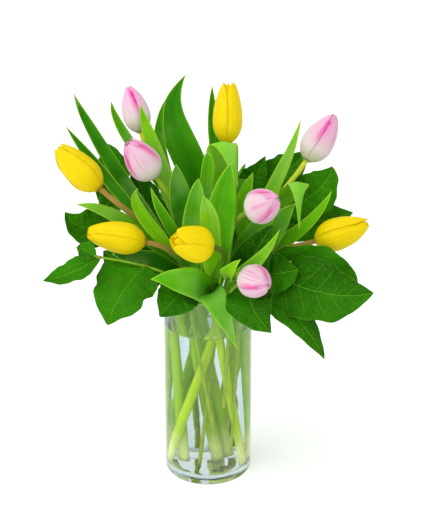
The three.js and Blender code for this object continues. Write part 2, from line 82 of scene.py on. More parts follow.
TULIPS = {
    "yellow_1": dict(
        foot=(-21, -2), neck=(-31, 4), head=(-116, -22, 362), axis=(-0.73, 0.28, 0.62), length=65, width=35,
        leaves=[
            (0.3, 19, (0.5, -0.8, 0.3), 20, (-115, 22, 389), (-147, 30, 456)),
            (0.55, 15, (-0.3, -0.9, 0.4), 10, (-121, 6, 378), (-155, 6, 426)),
            (0.15, 20, (0.1, -0.7, 0.7), 0, (-98, -18, 325), (-145, -18, 342)),
        ],
        tones=(0.5, 0.6, 1.4), under=TAN, roll=11, mouth=0.38, loose=1.5, blush=0.0,
    ),
    "yellow_2": dict(
        foot=(8, 4), neck=(-20, -14), head=(-66, -52, 312), axis=(-0.98, -0.01, 0.19), length=64, width=34,
        leaves=[
            (0.12, 30, (0, -0.55, 0.83), 0, (-72, -34, 281), (-106, -26, 287)),
            (0.4, 17, (0.5, -0.8, 0.3), 20, (-73, -46, 345), (-73, -50, 374)),
            (0.12, 27, (0.1, -0.95, 0.3), 0, (-14, -38, 342), (-10, -42, 382)),
            (0.15, 20, (0.3, -0.9, 0.3), 0, (-2, -22, 373), (-4, -22, 400)),
        ],
        tones=(0.3, 1.6, 1.1, 1.1), under=TAN, roll=113, mouth=0.32, loose=0.8, blush=0.0,
    ),
    "yellow_3": dict(
        foot=(36, -16), neck=(5, -39), head=(6, -84, 320), axis=(-0.88, -0.35, 0.32), length=47, width=38,
        leaves=[
            (0.1, 38, (-0.1, -0.95, 0.3), 12, (15, -44, 344), (25, -50, 403)),
            (0.2, 27, (0.3, -0.9, 0.3), 0, (1, -66, 338), (-5, -70, 373)),
            (0.05, 36, (0.05, -0.9, 0.43), 0, (-24, -84, 281), (-60, -104, 292)),
            (0.02, 32, (-0.1, -0.87, 0.48), 0, (9, -82, 257), (32, -96, 204)),
        ],
        tones=(0.9, 1.7, 1.0, 0.9), under=SHADE, roll=125, mouth=0.45, core=0.65, loose=2.0, blush=0.0,
    ),
    "yellow_4": dict(
        foot=(-25, 28), neck=(4, 33), head=(21, 12, 401), axis=(0.02, 0.41, 0.91), length=67, width=32,
        leaves=[
            (0.25, 38, (0.2, -0.9, 0.3), 25, (-24, 34, 378), (-39, 38, 430), (-23, 44, 473)),
            (0.5, 16, (0.3, -0.9, 0.3), 0, (6, 44, 407), (5, 52, 457)),
            (0.3, 38, (0, -0.84, -0.54), 0, (16, -2, 388), (20, -18, 413), (33, -44, 371)),
            (0.1, 30, (0.1, 0.8, 0.5), 10, (-4, 72, 325), (-9, 92, 367)),
            (0.35, 24, (0.3, 0.9, 0.3), 0, (21, 66, 327), (28, 92, 367)),
        ],
        tones=(0.6, 0.7, 1.5, 1.0, 1.0), under=LIME, roll=85, mouth=0.4, loose=2.0, blush=0.0,
    ),
    "yellow_5": dict(
        foot=(30, 20), neck=(38, 6), head=(117, -28, 303), axis=(0.93, -0.07, 0.36), length=62, width=35,
        leaves=[
            (0.2, 17, (-0.3, -0.9, 0.4), -10, (105, -16, 314), (135, -20, 360)),
            (0.08, 32, (-0.1, -0.95, 0.3), -10, (71, -14, 310), (96, -20, 345)),
        ],
        tones=(1.2, 0.9), under=TAN, roll=42, mouth=0.22, loose=1.0, blush=0.0,
    ),
    "pink_1": dict(
        foot=(-38, 9), neck=(-22, 24), head=(-73, 22, 411), axis=(-0.27, 0.51, 0.81), length=54, width=30,
        leaves=[
            (0.55, 13, (0.2, -0.9, 0.3), 0, (-93, 36, 406), (-106, 42, 442)),
            (0.35, 17, (0.3, -0.9, 0.3), 15, (-53, 24, 392), (-45, 26, 450)),
            (0.15, 38, (-0.1, -0.9, 0.4), 0, (-54, 52, 300), (-86, 66, 338)),
        ],
        tones=(0.8, 0.7, 0.0), under=STRAW, roll=104, mouth=0.15, loose=0.5, blush=1.0,
    ),
    "pink_2": dict(
        foot=(14, 14), neck=(-10, 6), head=(-56, -14, 372), axis=(-0.58, -0.1, 0.81), length=51, width=36,
        leaves=[
            (0.3, 22, (0.25, -0.9, 0.3), 15, (-56, 9, 387), (-73, 12, 448)),
            (0.15, 15, (0.3, -0.9, 0.3), 0, (-46, -32, 330), (-61, -38, 371)),
            (0.1, 30, (-0.1, -0.95, 0.3), -10, (-29, -14, 346), (-34, -12, 387)),
        ],
        tones=(1.5, 1.0, 0.5), under=LIME, roll=41, mouth=0.3, loose=1.5, blush=0.55,
    ),
    "pink_3": dict(
        foot=(4, 38), neck=(26, 22), head=(108, 14, 381), axis=(0.54, 0.34, 0.77), length=60, width=35,
        leaves=[
            (0.1, 22, (-0.3, -0.9, 0.3), 0, (40, 4, 333), (50, 4, 372)),
            (0.25, 18, (-0.4, -0.9, 0.3), -15, (79, 22, 358), (103, 26, 428)),
            (0.6, 33, (0, -0.39, -0.92), 0, (92, -2, 356), (99, -20, 366), (99, -46, 322)),
            (0.05, 28, (0.3, 0.8, 0.5), 10, (32, 72, 312), (44, 90, 352)),
        ],
        tones=(1.3, 1.6, 1.5, 0.9), under=STRAW, roll=76, mouth=0.15, loose=0.5, blush=0.7,
    ),
    "pink_4": dict(
        foot=(41, -2), neck=(29, -8), head=(44, -58, 350), axis=(0.68, -0.5, 0.54), length=43, width=37,
        leaves=[(0.2, 26, (-0.1, -0.95, 0.3), -10, (57, -30, 322), (75, -36, 360))],
        tones=(0.9,), under=OLIVE, roll=98, mouth=0.1, loose=0.8, blush=0.35,
    ),
    "pink_5": dict(
        foot=(-40, -9), neck=(19, -27), head=(38, -88, 287), axis=(0.6, -0.78, 0.12), length=41, width=35,
        leaves=[
            (0.4, 17, (-0.3, -0.9, 0.3), 0, (53, -72, 298), (76, -86, 342)),
            (0.4, 18, (0, -0.9, 0.4), 0, (22, -96, 299), (35, -108, 317)),
        ],
        tones=(1.5, 1.7), under=LIME, roll=42, mouth=0.1, loose=0.5, blush=0.4,
    ),
}

SPRAYS = {
    "left_front": dict(
        foot=(7, -33, 62), neck=(-20, -37), twig=[(-92, -70, 297), (-119, -78, 307)],
        leaves=[
            (0.95, 27, (0, -0.66, 0.75), 0, (-147, -84, 290), (-175, -92, 285)),
            (0.55, 68, (-0.3, -0.8, 0.5), 0, (-92, -89, 268), (-107, -104, 238)),
            (1, 20, (0, -0.8, 0.6), 0, (-132, -70, 311), (-140, -70, 314)),
            (0.12, 49, (0, -0.86, 0.51), 0, (-35, -79, 258), (-52, -90, 241)),
        ],
        tones=(0.9, 0.8, 0.7, 0.6),
    ),
    "left_back": dict(
        foot=(-43, 2, 12), neck=(-42, 4), twig=[(-93, 6, 312), (-116, 10, 330)],
        leaves=[
            (0.7, 44, (-0.1, -0.8, 0.6), 0, (-136, -4, 309), (-158, -6, 329)),
            (0.9, 34, (0, -0.87, 0.5), 0, (-110, 14, 335), (-122, 18, 346)),
            (1, 42, (0, -0.9, 0.4), 0, (-108, 40, 361), (-117, 52, 390)),
            (0.6, 44, (0, -0.9, 0.4), 0, (-72, 36, 324), (-88, 46, 362)),
            (0.25, 59, (0, -0.9, 0.4), 0, (-86, -14, 268), (-117, -10, 284)),
        ],
        tones=(0.6, 1.0, 0.6, 0.1, 0.2),
    ),
    "back": dict(
        foot=(13, 41, 12), neck=(14, 40), twig=[(42, 44, 336), (50, 50, 358)],
        leaves=[
            (0.9, 34, (0.1, -0.87, 0.5), 0, (52, 40, 352), (65, 44, 377)),
            (0.75, 42, (0.1, -0.8, 0.6), 0, (87, 50, 356), (111, 54, 380)),
            (0.7, 44, (0, 0.8, 0.6), 0, (82, 84, 334), (108, 102, 356)),
        ],
        tones=(0.5, 0.8, 0.6),
    ),
    "right_back": dict(
        foot=(42, 9, 12), neck=(41, 13), twig=[(75, 10, 319), (103, 14, 335)],
        leaves=[
            (0.8, 52, (0, -0.84, 0.54), 0, (122, 6, 350), (137, 10, 377)),
            (0.6, 46, (0, -0.8, 0.6), 0, (121, 16, 308), (164, 20, 318)),
        ],
        tones=(0.8, 0.8),
    ),
    "right_front": dict(
        foot=(25, -34, 40), neck=(34, -23), twig=[(70, -50, 281), (91, -56, 291)],
        leaves=[
            (0.58, 50, (0, -0.95, 0.3), 0, (121, -57, 285), (163, -66, 271)),
            (0.6, 72, (0.05, -0.86, 0.5), 0, (123, -80, 265), (177, -92, 271)),
            (0.45, 48, (0, -0.9, 0.4), 0, (77, -60, 279), (98, -66, 287)),
            (0.25, 34, (0.2, -0.9, 0.4), 0, (92, -84, 241), (127, -98, 193)),
            (0.15, 42, (0, -0.9, 0.4), 0, (50, -56, 298), (70, -58, 336)),
        ],
        tones=(1.0, 0.35, 0.5, 0.4, 0.0),
    ),
    "front": dict(
        foot=(17, -40, 100), neck=(24, -34), twig=[(42, -64, 272), (52, -80, 270)],
        leaves=[(0.9, 52, (0, -0.9, 0.4), 0, (47, -98, 258), (68, -112, 233))],
        tones=(0.25,),
    ),
    "middle": dict(
        foot=(-8, -12, 12), neck=(11, -8), twig=[(20, -5, 262), (24, -5, 276)],
        leaves=[(0.4, 49, (0, -0.9, 0.4), 0, (14, -4, 291), (0, -4, 328))],
        tones=(0.1,),
    ),
    "back_left": dict(
        foot=(-6, 41, 12), neck=(-12, 37), twig=[(-57, 84, 269), (-82, 104, 280)],
        leaves=[
            (0.9, 46, (-0.3, 0.7, 0.7), 0, (-100, 112, 264), (-127, 124, 263)),
            (0.7, 50, (0, 0.8, 0.6), 0, (-46, 110, 284), (-52, 130, 315)),
        ],
        tones=(0.7, 0.5),
    ),
    "back_right": dict(
        foot=(26, 34, 12), neck=(28, 28), twig=[(38, 84, 269), (64, 104, 280)],
        leaves=[
            (0.9, 48, (0.3, 0.7, 0.7), 0, (93, 112, 271), (118, 124, 279)),
            (0.7, 52, (0, 0.8, 0.6), 0, (38, 112, 284), (44, 132, 315)),
        ],
        tones=(0.6, 0.7),
    ),
}
print(len(TULIPS), "tulips with", sum(len(t["leaves"]) for t in TULIPS.values()), "leaves;",
      len(SPRAYS), "sprays with", sum(len(s["leaves"]) for s in SPRAYS.values()))

# %% [markdown]
# ## From a grid of points to a mesh
#
# A leaf, a petal and a stem are all surfaces over two parameters, so one small kit serves them all. A blade
# is two copies of its grid, set apart by its thickness, that share their border, so that the edge is closed
# and thin. A tube is a ring carried along a path, and each end is closed by one flat face. Each surface
# brings its own UV map, a tint, and the distance to its margin and midrib, which the materials read.
# Modifiers could thicken a sheet too, but doing it here lets the thickness fade to nothing at the margin, as
# it does on a leaf.

# %% Grids
TINY = 1e-12


def unit(vectors):
    """Each vector divided by its own length."""
    return vectors / np.maximum(np.linalg.norm(vectors, axis=-1, keepdims=True), TINY)


def facets(rows, columns, around=False):
    """Corner numbers of the quads of a grid, wrapped round where the last column meets the first."""
    number = np.arange(rows * columns).reshape(rows, columns)
    if around:
        number = np.concatenate([number, number[:, :1]], axis=1)
    corners = [number[:-1, :-1], number[:-1, 1:], number[1:, 1:], number[1:, :-1]]
    return np.stack(corners, -1).reshape(-1, 4)


print("3 rows of 4 points:", len(facets(3, 4)), "quads flat,", len(facets(3, 4, True)), "wrapped round")

# %% Blades, for leaves and petals
EDGE_RUN = 1.5


def blade(grid, thickness, S, V, half, tint, seed):
    """Two sheets, half the thickness out each way along the grid's normal, that share their border.

    S is the share of the blade's length. V goes from -1 to 1 across it, and half is how wide it is each way.
    The thickness grows in from the margin as the square root of the distance over EDGE_RUN, and over two
    rows at each end."""
    rows, columns, _ = grid.shape
    count = rows * columns
    margin, midrib = half * (1 - np.abs(V)), half * np.abs(V)
    normal = unit(np.cross(np.gradient(grid, axis=1), np.gradient(grid, axis=0)))
    inset = np.minimum(np.clip(margin, 0, None) / (EDGE_RUN * MM), 1) ** 0.5
    ends = np.minimum(np.arange(rows), np.arange(rows)[::-1])[:, None] / 2
    lift = (0.5 * thickness * np.minimum(inset, np.minimum(ends, 1)))[..., None] * normal
    border = np.ones((rows, columns), bool)
    border[1:-1, 1:-1] = False
    border = border.ravel()
    keep = np.concatenate([np.ones(count, bool), ~border])
    number = np.where(keep, np.cumsum(keep) - 1, 0)
    number[count:][border] = np.arange(count)[border]
    quads = facets(rows, columns)
    loops = np.concatenate([number[quads], number[count + quads[:, ::-1]]])

    def twice(values):
        flat = values.reshape(count, -1)
        return np.concatenate([flat, flat])[keep]

    return dict(
        points=np.concatenate([(grid + lift).reshape(-1, 3), (grid - lift).reshape(-1, 3)])[keep],
        loops=loops.ravel(), sizes=np.full(len(loops), 4), material=0,
        uv=twice(np.stack([(V + 1) / 2, S], -1)), tint=twice(tint),
        place=twice(np.stack([margin / MM, midrib / MM, np.full_like(margin, seed)], -1)),
        below=np.concatenate([np.where(border, 0.5, 0.0), np.ones(count)])[keep],
    )


print("a blade reaches its full thickness", EDGE_RUN, "mm in from the margin")

# %% Tubes, for stems, twigs and ribs
FAR_FROM_EDGE = 5.0


def tube(path, radius, tint, sides, seed=0.5):
    """A ring carried along a path: centre + radius * (cos a * side + sin a * up), where side lies across the
    path.

    The side is square to the direction that the path runs in least, so that the ring never twists. Each
    piece has the material of its tubes second."""
    rows = len(path)
    along = unit(np.gradient(path, axis=0))
    fixed = np.linalg.svd(along)[2][-1]
    side = unit(np.cross(fixed, along))
    up = np.cross(along, side)
    a = np.arange(sides) * 2 * math.pi / sides
    ring = np.cos(a)[None, :, None] * side[:, None] + np.sin(a)[None, :, None] * up[:, None]
    points = path[:, None] + radius[:, None, None] * ring
    travelled = np.concatenate([[0], np.cumsum(np.linalg.norm(np.diff(path, axis=0), axis=1))])
    uv = np.stack(np.broadcast_arrays(a / (2 * math.pi), (travelled / travelled[-1])[:, None]), -1)
    quads = facets(rows, sides, around=True)
    caps = [np.arange(sides)[::-1], (rows - 1) * sides + np.arange(sides)]
    return dict(
        points=points.reshape(-1, 3), loops=np.concatenate([quads.ravel(), *caps]), material=1,
        sizes=np.concatenate([np.full(len(quads), 4), [sides, sides]]), uv=uv.reshape(-1, 2),
        tint=np.repeat(np.broadcast_to(tint, (rows, 3)), sides, axis=0),
        place=np.broadcast_to((FAR_FROM_EDGE, FAR_FROM_EDGE, seed), (rows * sides, 3)),
        below=np.zeros(rows * sides),
    )


post = np.linspace((0, 0, 0), (0, 0, 1), 5)
print("a tube of 5 rings of 8 points has", len(tube(post, np.ones(5), TAN, 8)["sizes"]), "faces")

# %% From arrays to a piece


def joined(surfaces, key):
    """What all the surfaces hold under one key, one after another."""
    return np.concatenate([s[key] for s in surfaces])


def make_piece(name, surfaces, materials, node):
    """Joins the surfaces' arrays into one smooth mesh that rides on the body and stands for a plain solid."""
    first = np.cumsum([0] + [len(s["points"]) for s in surfaces])
    loops = np.concatenate([s["loops"] + start for s, start in zip(surfaces, first)])
    points, sizes, tint = joined(surfaces, "points"), joined(surfaces, "sizes"), joined(surfaces, "tint")
    which = np.concatenate([np.full(len(s["sizes"]), s["material"]) for s in surfaces])
    mesh = bpy.data.meshes.new(name)
    mesh.vertices.add(len(points))
    mesh.vertices.foreach_set("co", points.astype(np.float32).ravel())
    mesh.loops.add(len(loops))
    mesh.loops.foreach_set("vertex_index", loops.astype(np.int32))
    mesh.polygons.add(len(sizes))
    mesh.polygons.foreach_set("loop_start", np.concatenate([[0], np.cumsum(sizes)[:-1]]).astype(np.int32))
    mesh.polygons.foreach_set("material_index", which.astype(np.int32))
    mesh.polygons.foreach_set("use_smooth", np.ones(len(sizes), bool))
    for material in materials:
        mesh.materials.append(material)
    uv = joined(surfaces, "uv")[loops]
    mesh.uv_layers.new(name="UVMap").data.foreach_set("uv", uv.astype(np.float32).ravel())
    for label, kind, field, values in (
        ("tint", "FLOAT_COLOR", "color", np.concatenate([tint, np.ones((len(tint), 1))], axis=1)),
        ("place", "FLOAT_VECTOR", "vector", joined(surfaces, "place")),
        ("below", "FLOAT", "value", joined(surfaces, "below")),
    ):
        mesh.attributes.new(label, kind, "POINT").data.foreach_set(field, values.astype(np.float32).ravel())
    mesh.update()
    mesh.validate()
    piece = bpy.data.objects.new(name, mesh)
    bpy.context.scene.collection.objects.link(piece)
    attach(piece, "root")
    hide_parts(node)
    return piece


def triangles(piece):
    """Triangles in a piece: two fewer than its corners for every face."""
    return len(piece.data.loops) - 2 * len(piece.data.polygons)


print("each piece carries a UV map, a tint, its place on the blade, and whether it is the underside")

# %% [markdown]
# ## Wiring a material
#
# Node trees are easier to read when each node is one line of arithmetic, so short helpers add a node, do one
# sum, mix two colours and lay stains over a colour one after another. Two effects are used by more than one
# material, so each is a group of its own. Streaks are the fine lines that run down a petal, a tulip leaf and
# a stem: noise that is stretched along the piece. Mottle is the soft unevenness of anything that grew.

# %% Node helpers
MIX_FACTOR, MIX_FIRST, MIX_SECOND, MIX_RESULT = 0, 6, 7, 2


def plug(tree, socket, value):
    """Joins a socket to another node's output, or sets it to a plain value."""
    if isinstance(value, bpy.types.NodeSocket):
        tree.links.new(value, socket)
    else:
        socket.default_value = value


def add(tree, kind, inputs=None, **settings):
    """One new node with its settings and inputs."""
    node = tree.nodes.new(kind)
    for name, value in settings.items():
        setattr(node, name, value)
    for name, value in (inputs or {}).items():
        plug(tree, node.inputs[name], value)
    return node


def maths(tree, operation, *values):
    """The result of one sum."""
    return add(tree, "ShaderNodeMath", dict(enumerate(values)), operation=operation).outputs[0]


def parts_of(tree, vector):
    """The x, y and z of a vector."""
    return add(tree, "ShaderNodeSeparateXYZ", {0: vector}).outputs


def fade(tree, value, low, high, start=0.0, end=1.0):
    """start below low, end above high, and a smooth step between."""
    settings = {"Value": value, "From Min": low, "From Max": high, "To Min": start, "To Max": end}
    return add(tree, "ShaderNodeMapRange", settings, interpolation_type="SMOOTHSTEP").outputs[0]


def mixed(tree, factor, first, second, mode="MIX"):
    """Two colours mixed by factor."""
    inputs = {MIX_FACTOR: factor, MIX_FIRST: first, MIX_SECOND: second}
    return add(tree, "ShaderNodeMix", inputs, data_type="RGBA", blend_type=mode).outputs[MIX_RESULT]


def colour(*rgb):
    """A colour with full alpha."""
    return (*rgb, 1.0)


def stained(tree, base, *stains):
    """The base colour with each stain laid over it in turn: its mask, share, colour and way of mixing."""
    for mask, share, stain, mode in stains:
        base = mixed(tree, maths(tree, "MULTIPLY", mask, share), base, colour(*stain), mode)
    return base


def on_object(tree, kind, inputs, **settings):
    """A texture on the piece's own coordinates."""
    spot = add(tree, "ShaderNodeTexCoord").outputs["Object"]
    return add(tree, kind, {"Vector": spot, **inputs}, **settings).outputs[0]


print("helpers ready for", bpy.app.version_string)

# %% Streaks and mottle
SEED_APART = 37.0
SOFT = (0.3, 0.7)


def group(name, inputs, output):
    """An empty node group with number inputs and one number output: its tree, its inputs and its output."""
    tree = bpy.data.node_groups.new(name, "ShaderNodeTree")
    for label, value in inputs.items():
        tree.interface.new_socket(label, in_out="INPUT", socket_type="NodeSocketFloat").default_value = value
    tree.interface.new_socket(output, in_out="OUTPUT", socket_type="NodeSocketFloat")
    return tree, add(tree, "NodeGroupInput").outputs, add(tree, "NodeGroupOutput").inputs[output]


streaks, given, result = group(
    "streaks", {"Across": 0.0, "Along": 0.0, "Count": 40.0, "Stretch": 1.5, "Seed": 0.0}, "Lines"
)
across = maths(streaks, "MULTIPLY", given["Across"], given["Count"])
along = maths(streaks, "MULTIPLY", given["Along"], given["Stretch"])
apart = maths(streaks, "MULTIPLY", given["Seed"], SEED_APART)
spot = add(streaks, "ShaderNodeCombineXYZ", {"X": across, "Y": along, "Z": apart}).outputs[0]
lines = add(streaks, "ShaderNodeTexNoise", {"Vector": spot, "Scale": 1.0, "Detail": 2.0, "Roughness": 0.55})
plug(streaks, result, fade(streaks, lines.outputs[0], *SOFT))

mottle, given, result = group("mottle", {"Scale": 60.0, "Seed": 0.0}, "Patches")
noise = {"W": given["Seed"], "Scale": given["Scale"], "Detail": 3.0}
patches = on_object(mottle, "ShaderNodeTexNoise", noise, noise_dimensions="4D")
plug(mottle, result, fade(mottle, patches, *SOFT))


def use(tree, effect, output, **inputs):
    """Places a group with its own values."""
    return add(tree, "ShaderNodeGroup", inputs, node_tree=effect).outputs[output]


print("groups:", [g.name for g in (streaks, mottle)])

# %% Starting and finishing a material


def new_material(name):
    """A new material, its node tree and its Principled shader."""
    material = bpy.data.materials.new(name)
    material.use_nodes = True
    return material, material.node_tree, material.node_tree.nodes["Principled BSDF"]


def plant_finish(name):
    """A material for what grew, with what its pieces bring: tint, UV, margin, midrib, seed and underside."""
    material, tree, shader = new_material(name)
    labels = ("tint", "place", "below")
    tint, place, below = (add(tree, "ShaderNodeAttribute", attribute_name=label).outputs for label in labels)
    place = parts_of(tree, place["Vector"])
    uv = parts_of(tree, add(tree, "ShaderNodeUVMap", uv_map="UVMap").outputs[0])
    return SimpleNamespace(
        material=material, tree=tree, shader=shader, tint=tint["Color"], below=below["Fac"],
        across=uv[0], along=uv[1], margin=place[0], midrib=place[1], seed=place[2],
    )


def lines_along(finish, count, stretch, shift=0.0):
    """Streaks that run along the piece, so many across it, and others on every leaf or petal."""
    seed = maths(finish.tree, "ADD", finish.seed, shift)
    places = dict(Across=finish.across, Along=finish.along, Seed=seed)
    return use(finish.tree, streaks, "Lines", Count=count, Stretch=stretch, **places)


def patches_over(finish, scale, shift=0.0):
    """Mottle over the piece, other on every leaf or petal."""
    seed = maths(finish.tree, "ADD", finish.seed, shift)
    return use(finish.tree, mottle, "Patches", Scale=scale, Seed=seed)


def wire(finish, base, mask, rough, rougher):
    """Base colour, and a roughness that is rough where the mask is 0 and rises by rougher where it is 1."""
    tree, inputs = finish.tree, finish.shader.inputs
    plug(tree, inputs["Base Color"], base)
    plug(tree, inputs["Roughness"], maths(tree, "MULTIPLY_ADD", mask, rougher, rough))


def set_plain(shader, values):
    """Values that are the same all over, on the shader's own sockets."""
    for socket, value in values.items():
        shader.inputs[socket].default_value = value


def relief(tree, shader, height, depth, strength):
    """Bumps the shader's surface by a height of so many millimetres."""
    bump = add(tree, "ShaderNodeBump", {"Height": height, "Distance": depth * MM, "Strength": strength})
    plug(tree, shader.inputs["Normal"], bump.outputs[0])


print("every plant finish starts from its piece's own tint")

# %% [markdown]
# ## Leaf and stem finishes
#
# A tulip leaf is waxy, with veins that run side by side from base to tip, paler bluish patches that are
# partly its wax bloom and partly a painted sheen, a thin pale margin and a slightly cooler underside. The
# foliage
# leaves are leathery and net veined: a pale midrib, side veins that sweep towards the tip, and between them a
# fine paler net that is sunk a little, as all the veins are. Painting these by hand would need pictures; here
# the lines follow from the leaf's own UV map, and the net is the edges of a Voronoi pattern.

# %% Tulip leaves
tulip_leaf = plant_finish("tulip_leaf")
tree = tulip_leaf.tree
veins = lines_along(tulip_leaf, 46.0, 1.1)
bands = lines_along(tulip_leaf, 13.0, 0.7)
patches = patches_over(tulip_leaf, 32.0)
# Paler bluish patches: partly the leaf's wax bloom, partly a painted sheen.
wax_and_sheen = fade(tree, patches_over(tulip_leaf, 13.0, shift=3.0), 0.45, 0.95)
rim = fade(tree, tulip_leaf.margin, 0.3, 1.0, 1.0, 0.0)
green = stained(
    tree, tulip_leaf.tint,
    (veins, 0.35, (0.42, 0.66, 0.25), "MULTIPLY"),
    (bands, 0.4, (0.45, 0.68, 0.3), "MULTIPLY"),
    (patches, 0.5, (0.4, 0.62, 0.3), "MULTIPLY"),
    (wax_and_sheen, 0.34, (0.36, 0.64, 0.15), "MIX"),
    (tulip_leaf.below, 0.3, (0.16, 0.45, 0.06), "MIX"),
    (rim, 0.85, (0.42, 0.68, 0.05), "MIX"),
)
wire(tulip_leaf, green, patches, 0.4, 0.12)
set_plain(tulip_leaf.shader, {
    "Specular IOR Level": 0.1, "Subsurface Weight": 0.12,
    "Subsurface Radius": (0.35, 1.0, 0.1), "Subsurface Scale": 1.6 * MM,
})
relief(tree, tulip_leaf.shader, veins, 0.18, 0.7)
print("made", tulip_leaf.material.name, "with", len(tree.nodes), "nodes")

# %% Tulip stems
tulip_stem = plant_finish("tulip_stem")
tree = tulip_stem.tree
fibres = lines_along(tulip_stem, 24.0, 3.0)
patches = patches_over(tulip_stem, 70.0)
green = stained(
    tree, tulip_stem.tint,
    (fibres, 0.3, (0.5, 0.66, 0.25), "MULTIPLY"),
    (patches, 0.3, (0.5, 0.56, 0.24), "MULTIPLY"),
)
wire(tulip_stem, green, patches, 0.38, 0.15)
set_plain(tulip_stem.shader, {
    "Specular IOR Level": 0.08, "Subsurface Weight": 0.1,
    "Subsurface Radius": (0.5, 1.0, 0.2), "Subsurface Scale": 2.0 * MM,
})
relief(tree, tulip_stem.shader, fibres, 0.2, 0.6)
print("made", tulip_stem.material.name, "with", len(tree.nodes), "nodes")

# %% Foliage leaves
SIDE_VEINS = 7.0
SWEEP = 1.25
BOW = 0.85

broad_leaf = plant_finish("broad_leaf")
tree = broad_leaf.tree
patches = patches_over(broad_leaf, 38.0)
cells = on_object(tree, "ShaderNodeTexVoronoi", {"Scale": 430.0}, feature="DISTANCE_TO_EDGE")
net = fade(tree, cells, 0.0, 0.2, 1.0, 0.0)
sideways = maths(tree, "ABSOLUTE", maths(tree, "MULTIPLY_ADD", broad_leaf.across, 2.0, -1.0))
swept = maths(tree, "MULTIPLY", maths(tree, "POWER", sideways, BOW), -SWEEP)
order = maths(tree, "MULTIPLY_ADD", broad_leaf.along, SIDE_VEINS, swept)
between = maths(tree, "ABSOLUTE", maths(tree, "SUBTRACT", maths(tree, "FRACT", order), 0.5))
dying_out = fade(tree, sideways, 0.55, 0.95, 1.0, 0.0)
side_vein = maths(tree, "MULTIPLY", fade(tree, between, 0.44, 0.49), dying_out)
midrib = fade(tree, broad_leaf.midrib, 0.25, 0.65, 1.0, 0.0)
rim = fade(tree, broad_leaf.margin, 0.15, 0.6, 1.0, 0.0)
green = stained(
    tree, broad_leaf.tint,
    (patches, 0.65, (0.35, 0.46, 0.25), "MULTIPLY"),
    (net, 0.42, (0.065, 0.28, 0.004), "MIX"),
    (side_vein, 0.38, (0.1, 0.36, 0.01), "MIX"),
    (midrib, 0.55, (0.17, 0.45, 0.03), "MIX"),
    (broad_leaf.below, 0.5, (0.07, 0.23, 0.03), "MIX"),
    (rim, 0.4, (0.16, 0.42, 0.02), "MIX"),
)
wire(broad_leaf, green, patches, 0.34, 0.14)
set_plain(broad_leaf.shader, {"Specular IOR Level": 0.04})
groove = maths(tree, "MAXIMUM", maths(tree, "MULTIPLY", net, 0.35), maths(tree, "MAXIMUM", side_vein, midrib))
relief(tree, broad_leaf.shader, maths(tree, "SUBTRACT", 1.0, groove), 0.6, 1.0)
print("made", broad_leaf.material.name, "with", len(tree.nodes), "nodes")

# %% Twigs
twig_bark = plant_finish("twig_bark")
tree = twig_bark.tree
patches = patches_over(twig_bark, 130.0)
specks = fade(tree, on_object(tree, "ShaderNodeTexNoise", {"Scale": 700.0, "Detail": 1.0}), 0.62, 0.7)
bark = stained(
    tree, twig_bark.tint,
    (patches, 0.4, (0.6, 0.5, 0.25), "MULTIPLY"),
    (specks, 0.5, (0.07, 0.04, 0.015), "MIX"),
)
wire(twig_bark, bark, patches, 0.42, 0.2)
set_plain(twig_bark.shader, {"Specular IOR Level": 0.1})
relief(tree, twig_bark.shader, maths(tree, "ADD", patches, specks), 0.3, 0.6)
print("made", twig_bark.material.name, "with", len(tree.nodes), "nodes")

# %% [markdown]
# ## Petal finishes
#
# Tulip petals are satin, a little see-through, and drawn with hair-fine lines that fan from base to tip, a
# few of them deeper than the rest. The yellow ones deepen to orange at the foot and where they overlap. The
# pink ones start cream green at the foot, pass through white and blush towards the tip and the margins.
# The inner side of a petal is given a painted glow of its own colour, so the gaps between the tips, which lie
# in shade, aren't black. The colours come in the tint of each petal, worked out when its surface is made, so
# one material per colour is enough.

# %% Petals
PAINTED_INNER_GLOW = 0.3


def petal_finish(name, fine_colour, share, low_share, vein_colour, vein_share, glow):
    """Satin petal: its tint, with fine lines of a second colour, a few drawn veins, a soft glow through it,
    and a painted glow on its inner side that lightens the shade there.

    Below the middle the fine lines fade to low_share of their strength, and the veins fade out."""
    petal = plant_finish(name)
    tree = petal.tree
    fine, broad = lines_along(petal, 42.0, 1.3), lines_along(petal, 11.0, 0.8)
    patches = patches_over(petal, 55.0)
    both = maths(tree, "ADD", fine, broad)
    strength = fade(tree, petal.along, 0.15, 0.55, 0.5 * share * low_share, 0.5 * share)
    veins = fade(tree, lines_along(petal, 24.0, 1.0, shift=0.4), 0.6, 0.95)
    skin = stained(
        tree, petal.tint,
        (both, strength, fine_colour, "MULTIPLY"),
        (patches, 0.12, fine_colour, "MULTIPLY"),
        (veins, fade(tree, petal.along, 0.25, 0.6, 0.0, vein_share), vein_colour, "MIX"),
    )
    wire(petal, skin, broad, 0.45, 0.12)
    # Painted light: the inner side glows with its own colour, which lifts the shade between petals.
    plug(tree, petal.shader.inputs["Emission Color"], mixed(tree, petal.below, colour(0.0, 0.0, 0.0), skin))
    set_plain(petal.shader, {
        "Emission Strength": PAINTED_INNER_GLOW, "Specular IOR Level": 0.1, "Subsurface Weight": 0.3,
        "Subsurface Radius": glow, "Subsurface Scale": 2.0 * MM,
    })
    relief(tree, petal.shader, both, 0.22, 0.6)
    return petal


yellow_petal = petal_finish(
    "yellow_petal", fine_colour=(0.94, 0.84, 0.3), share=0.45, low_share=1.0,
    vein_colour=(0.68, 0.42, 0.0), vein_share=0.3, glow=(1.0, 0.8, 0.1),
)
pink_petal = petal_finish(
    "pink_petal", fine_colour=(0.96, 0.5, 0.76), share=0.6, low_share=0.15,
    vein_colour=(0.72, 0.13, 0.38), vein_share=0.5, glow=(1.0, 0.45, 0.6),
)
print("made", yellow_petal.material.name, pink_petal.material.name)

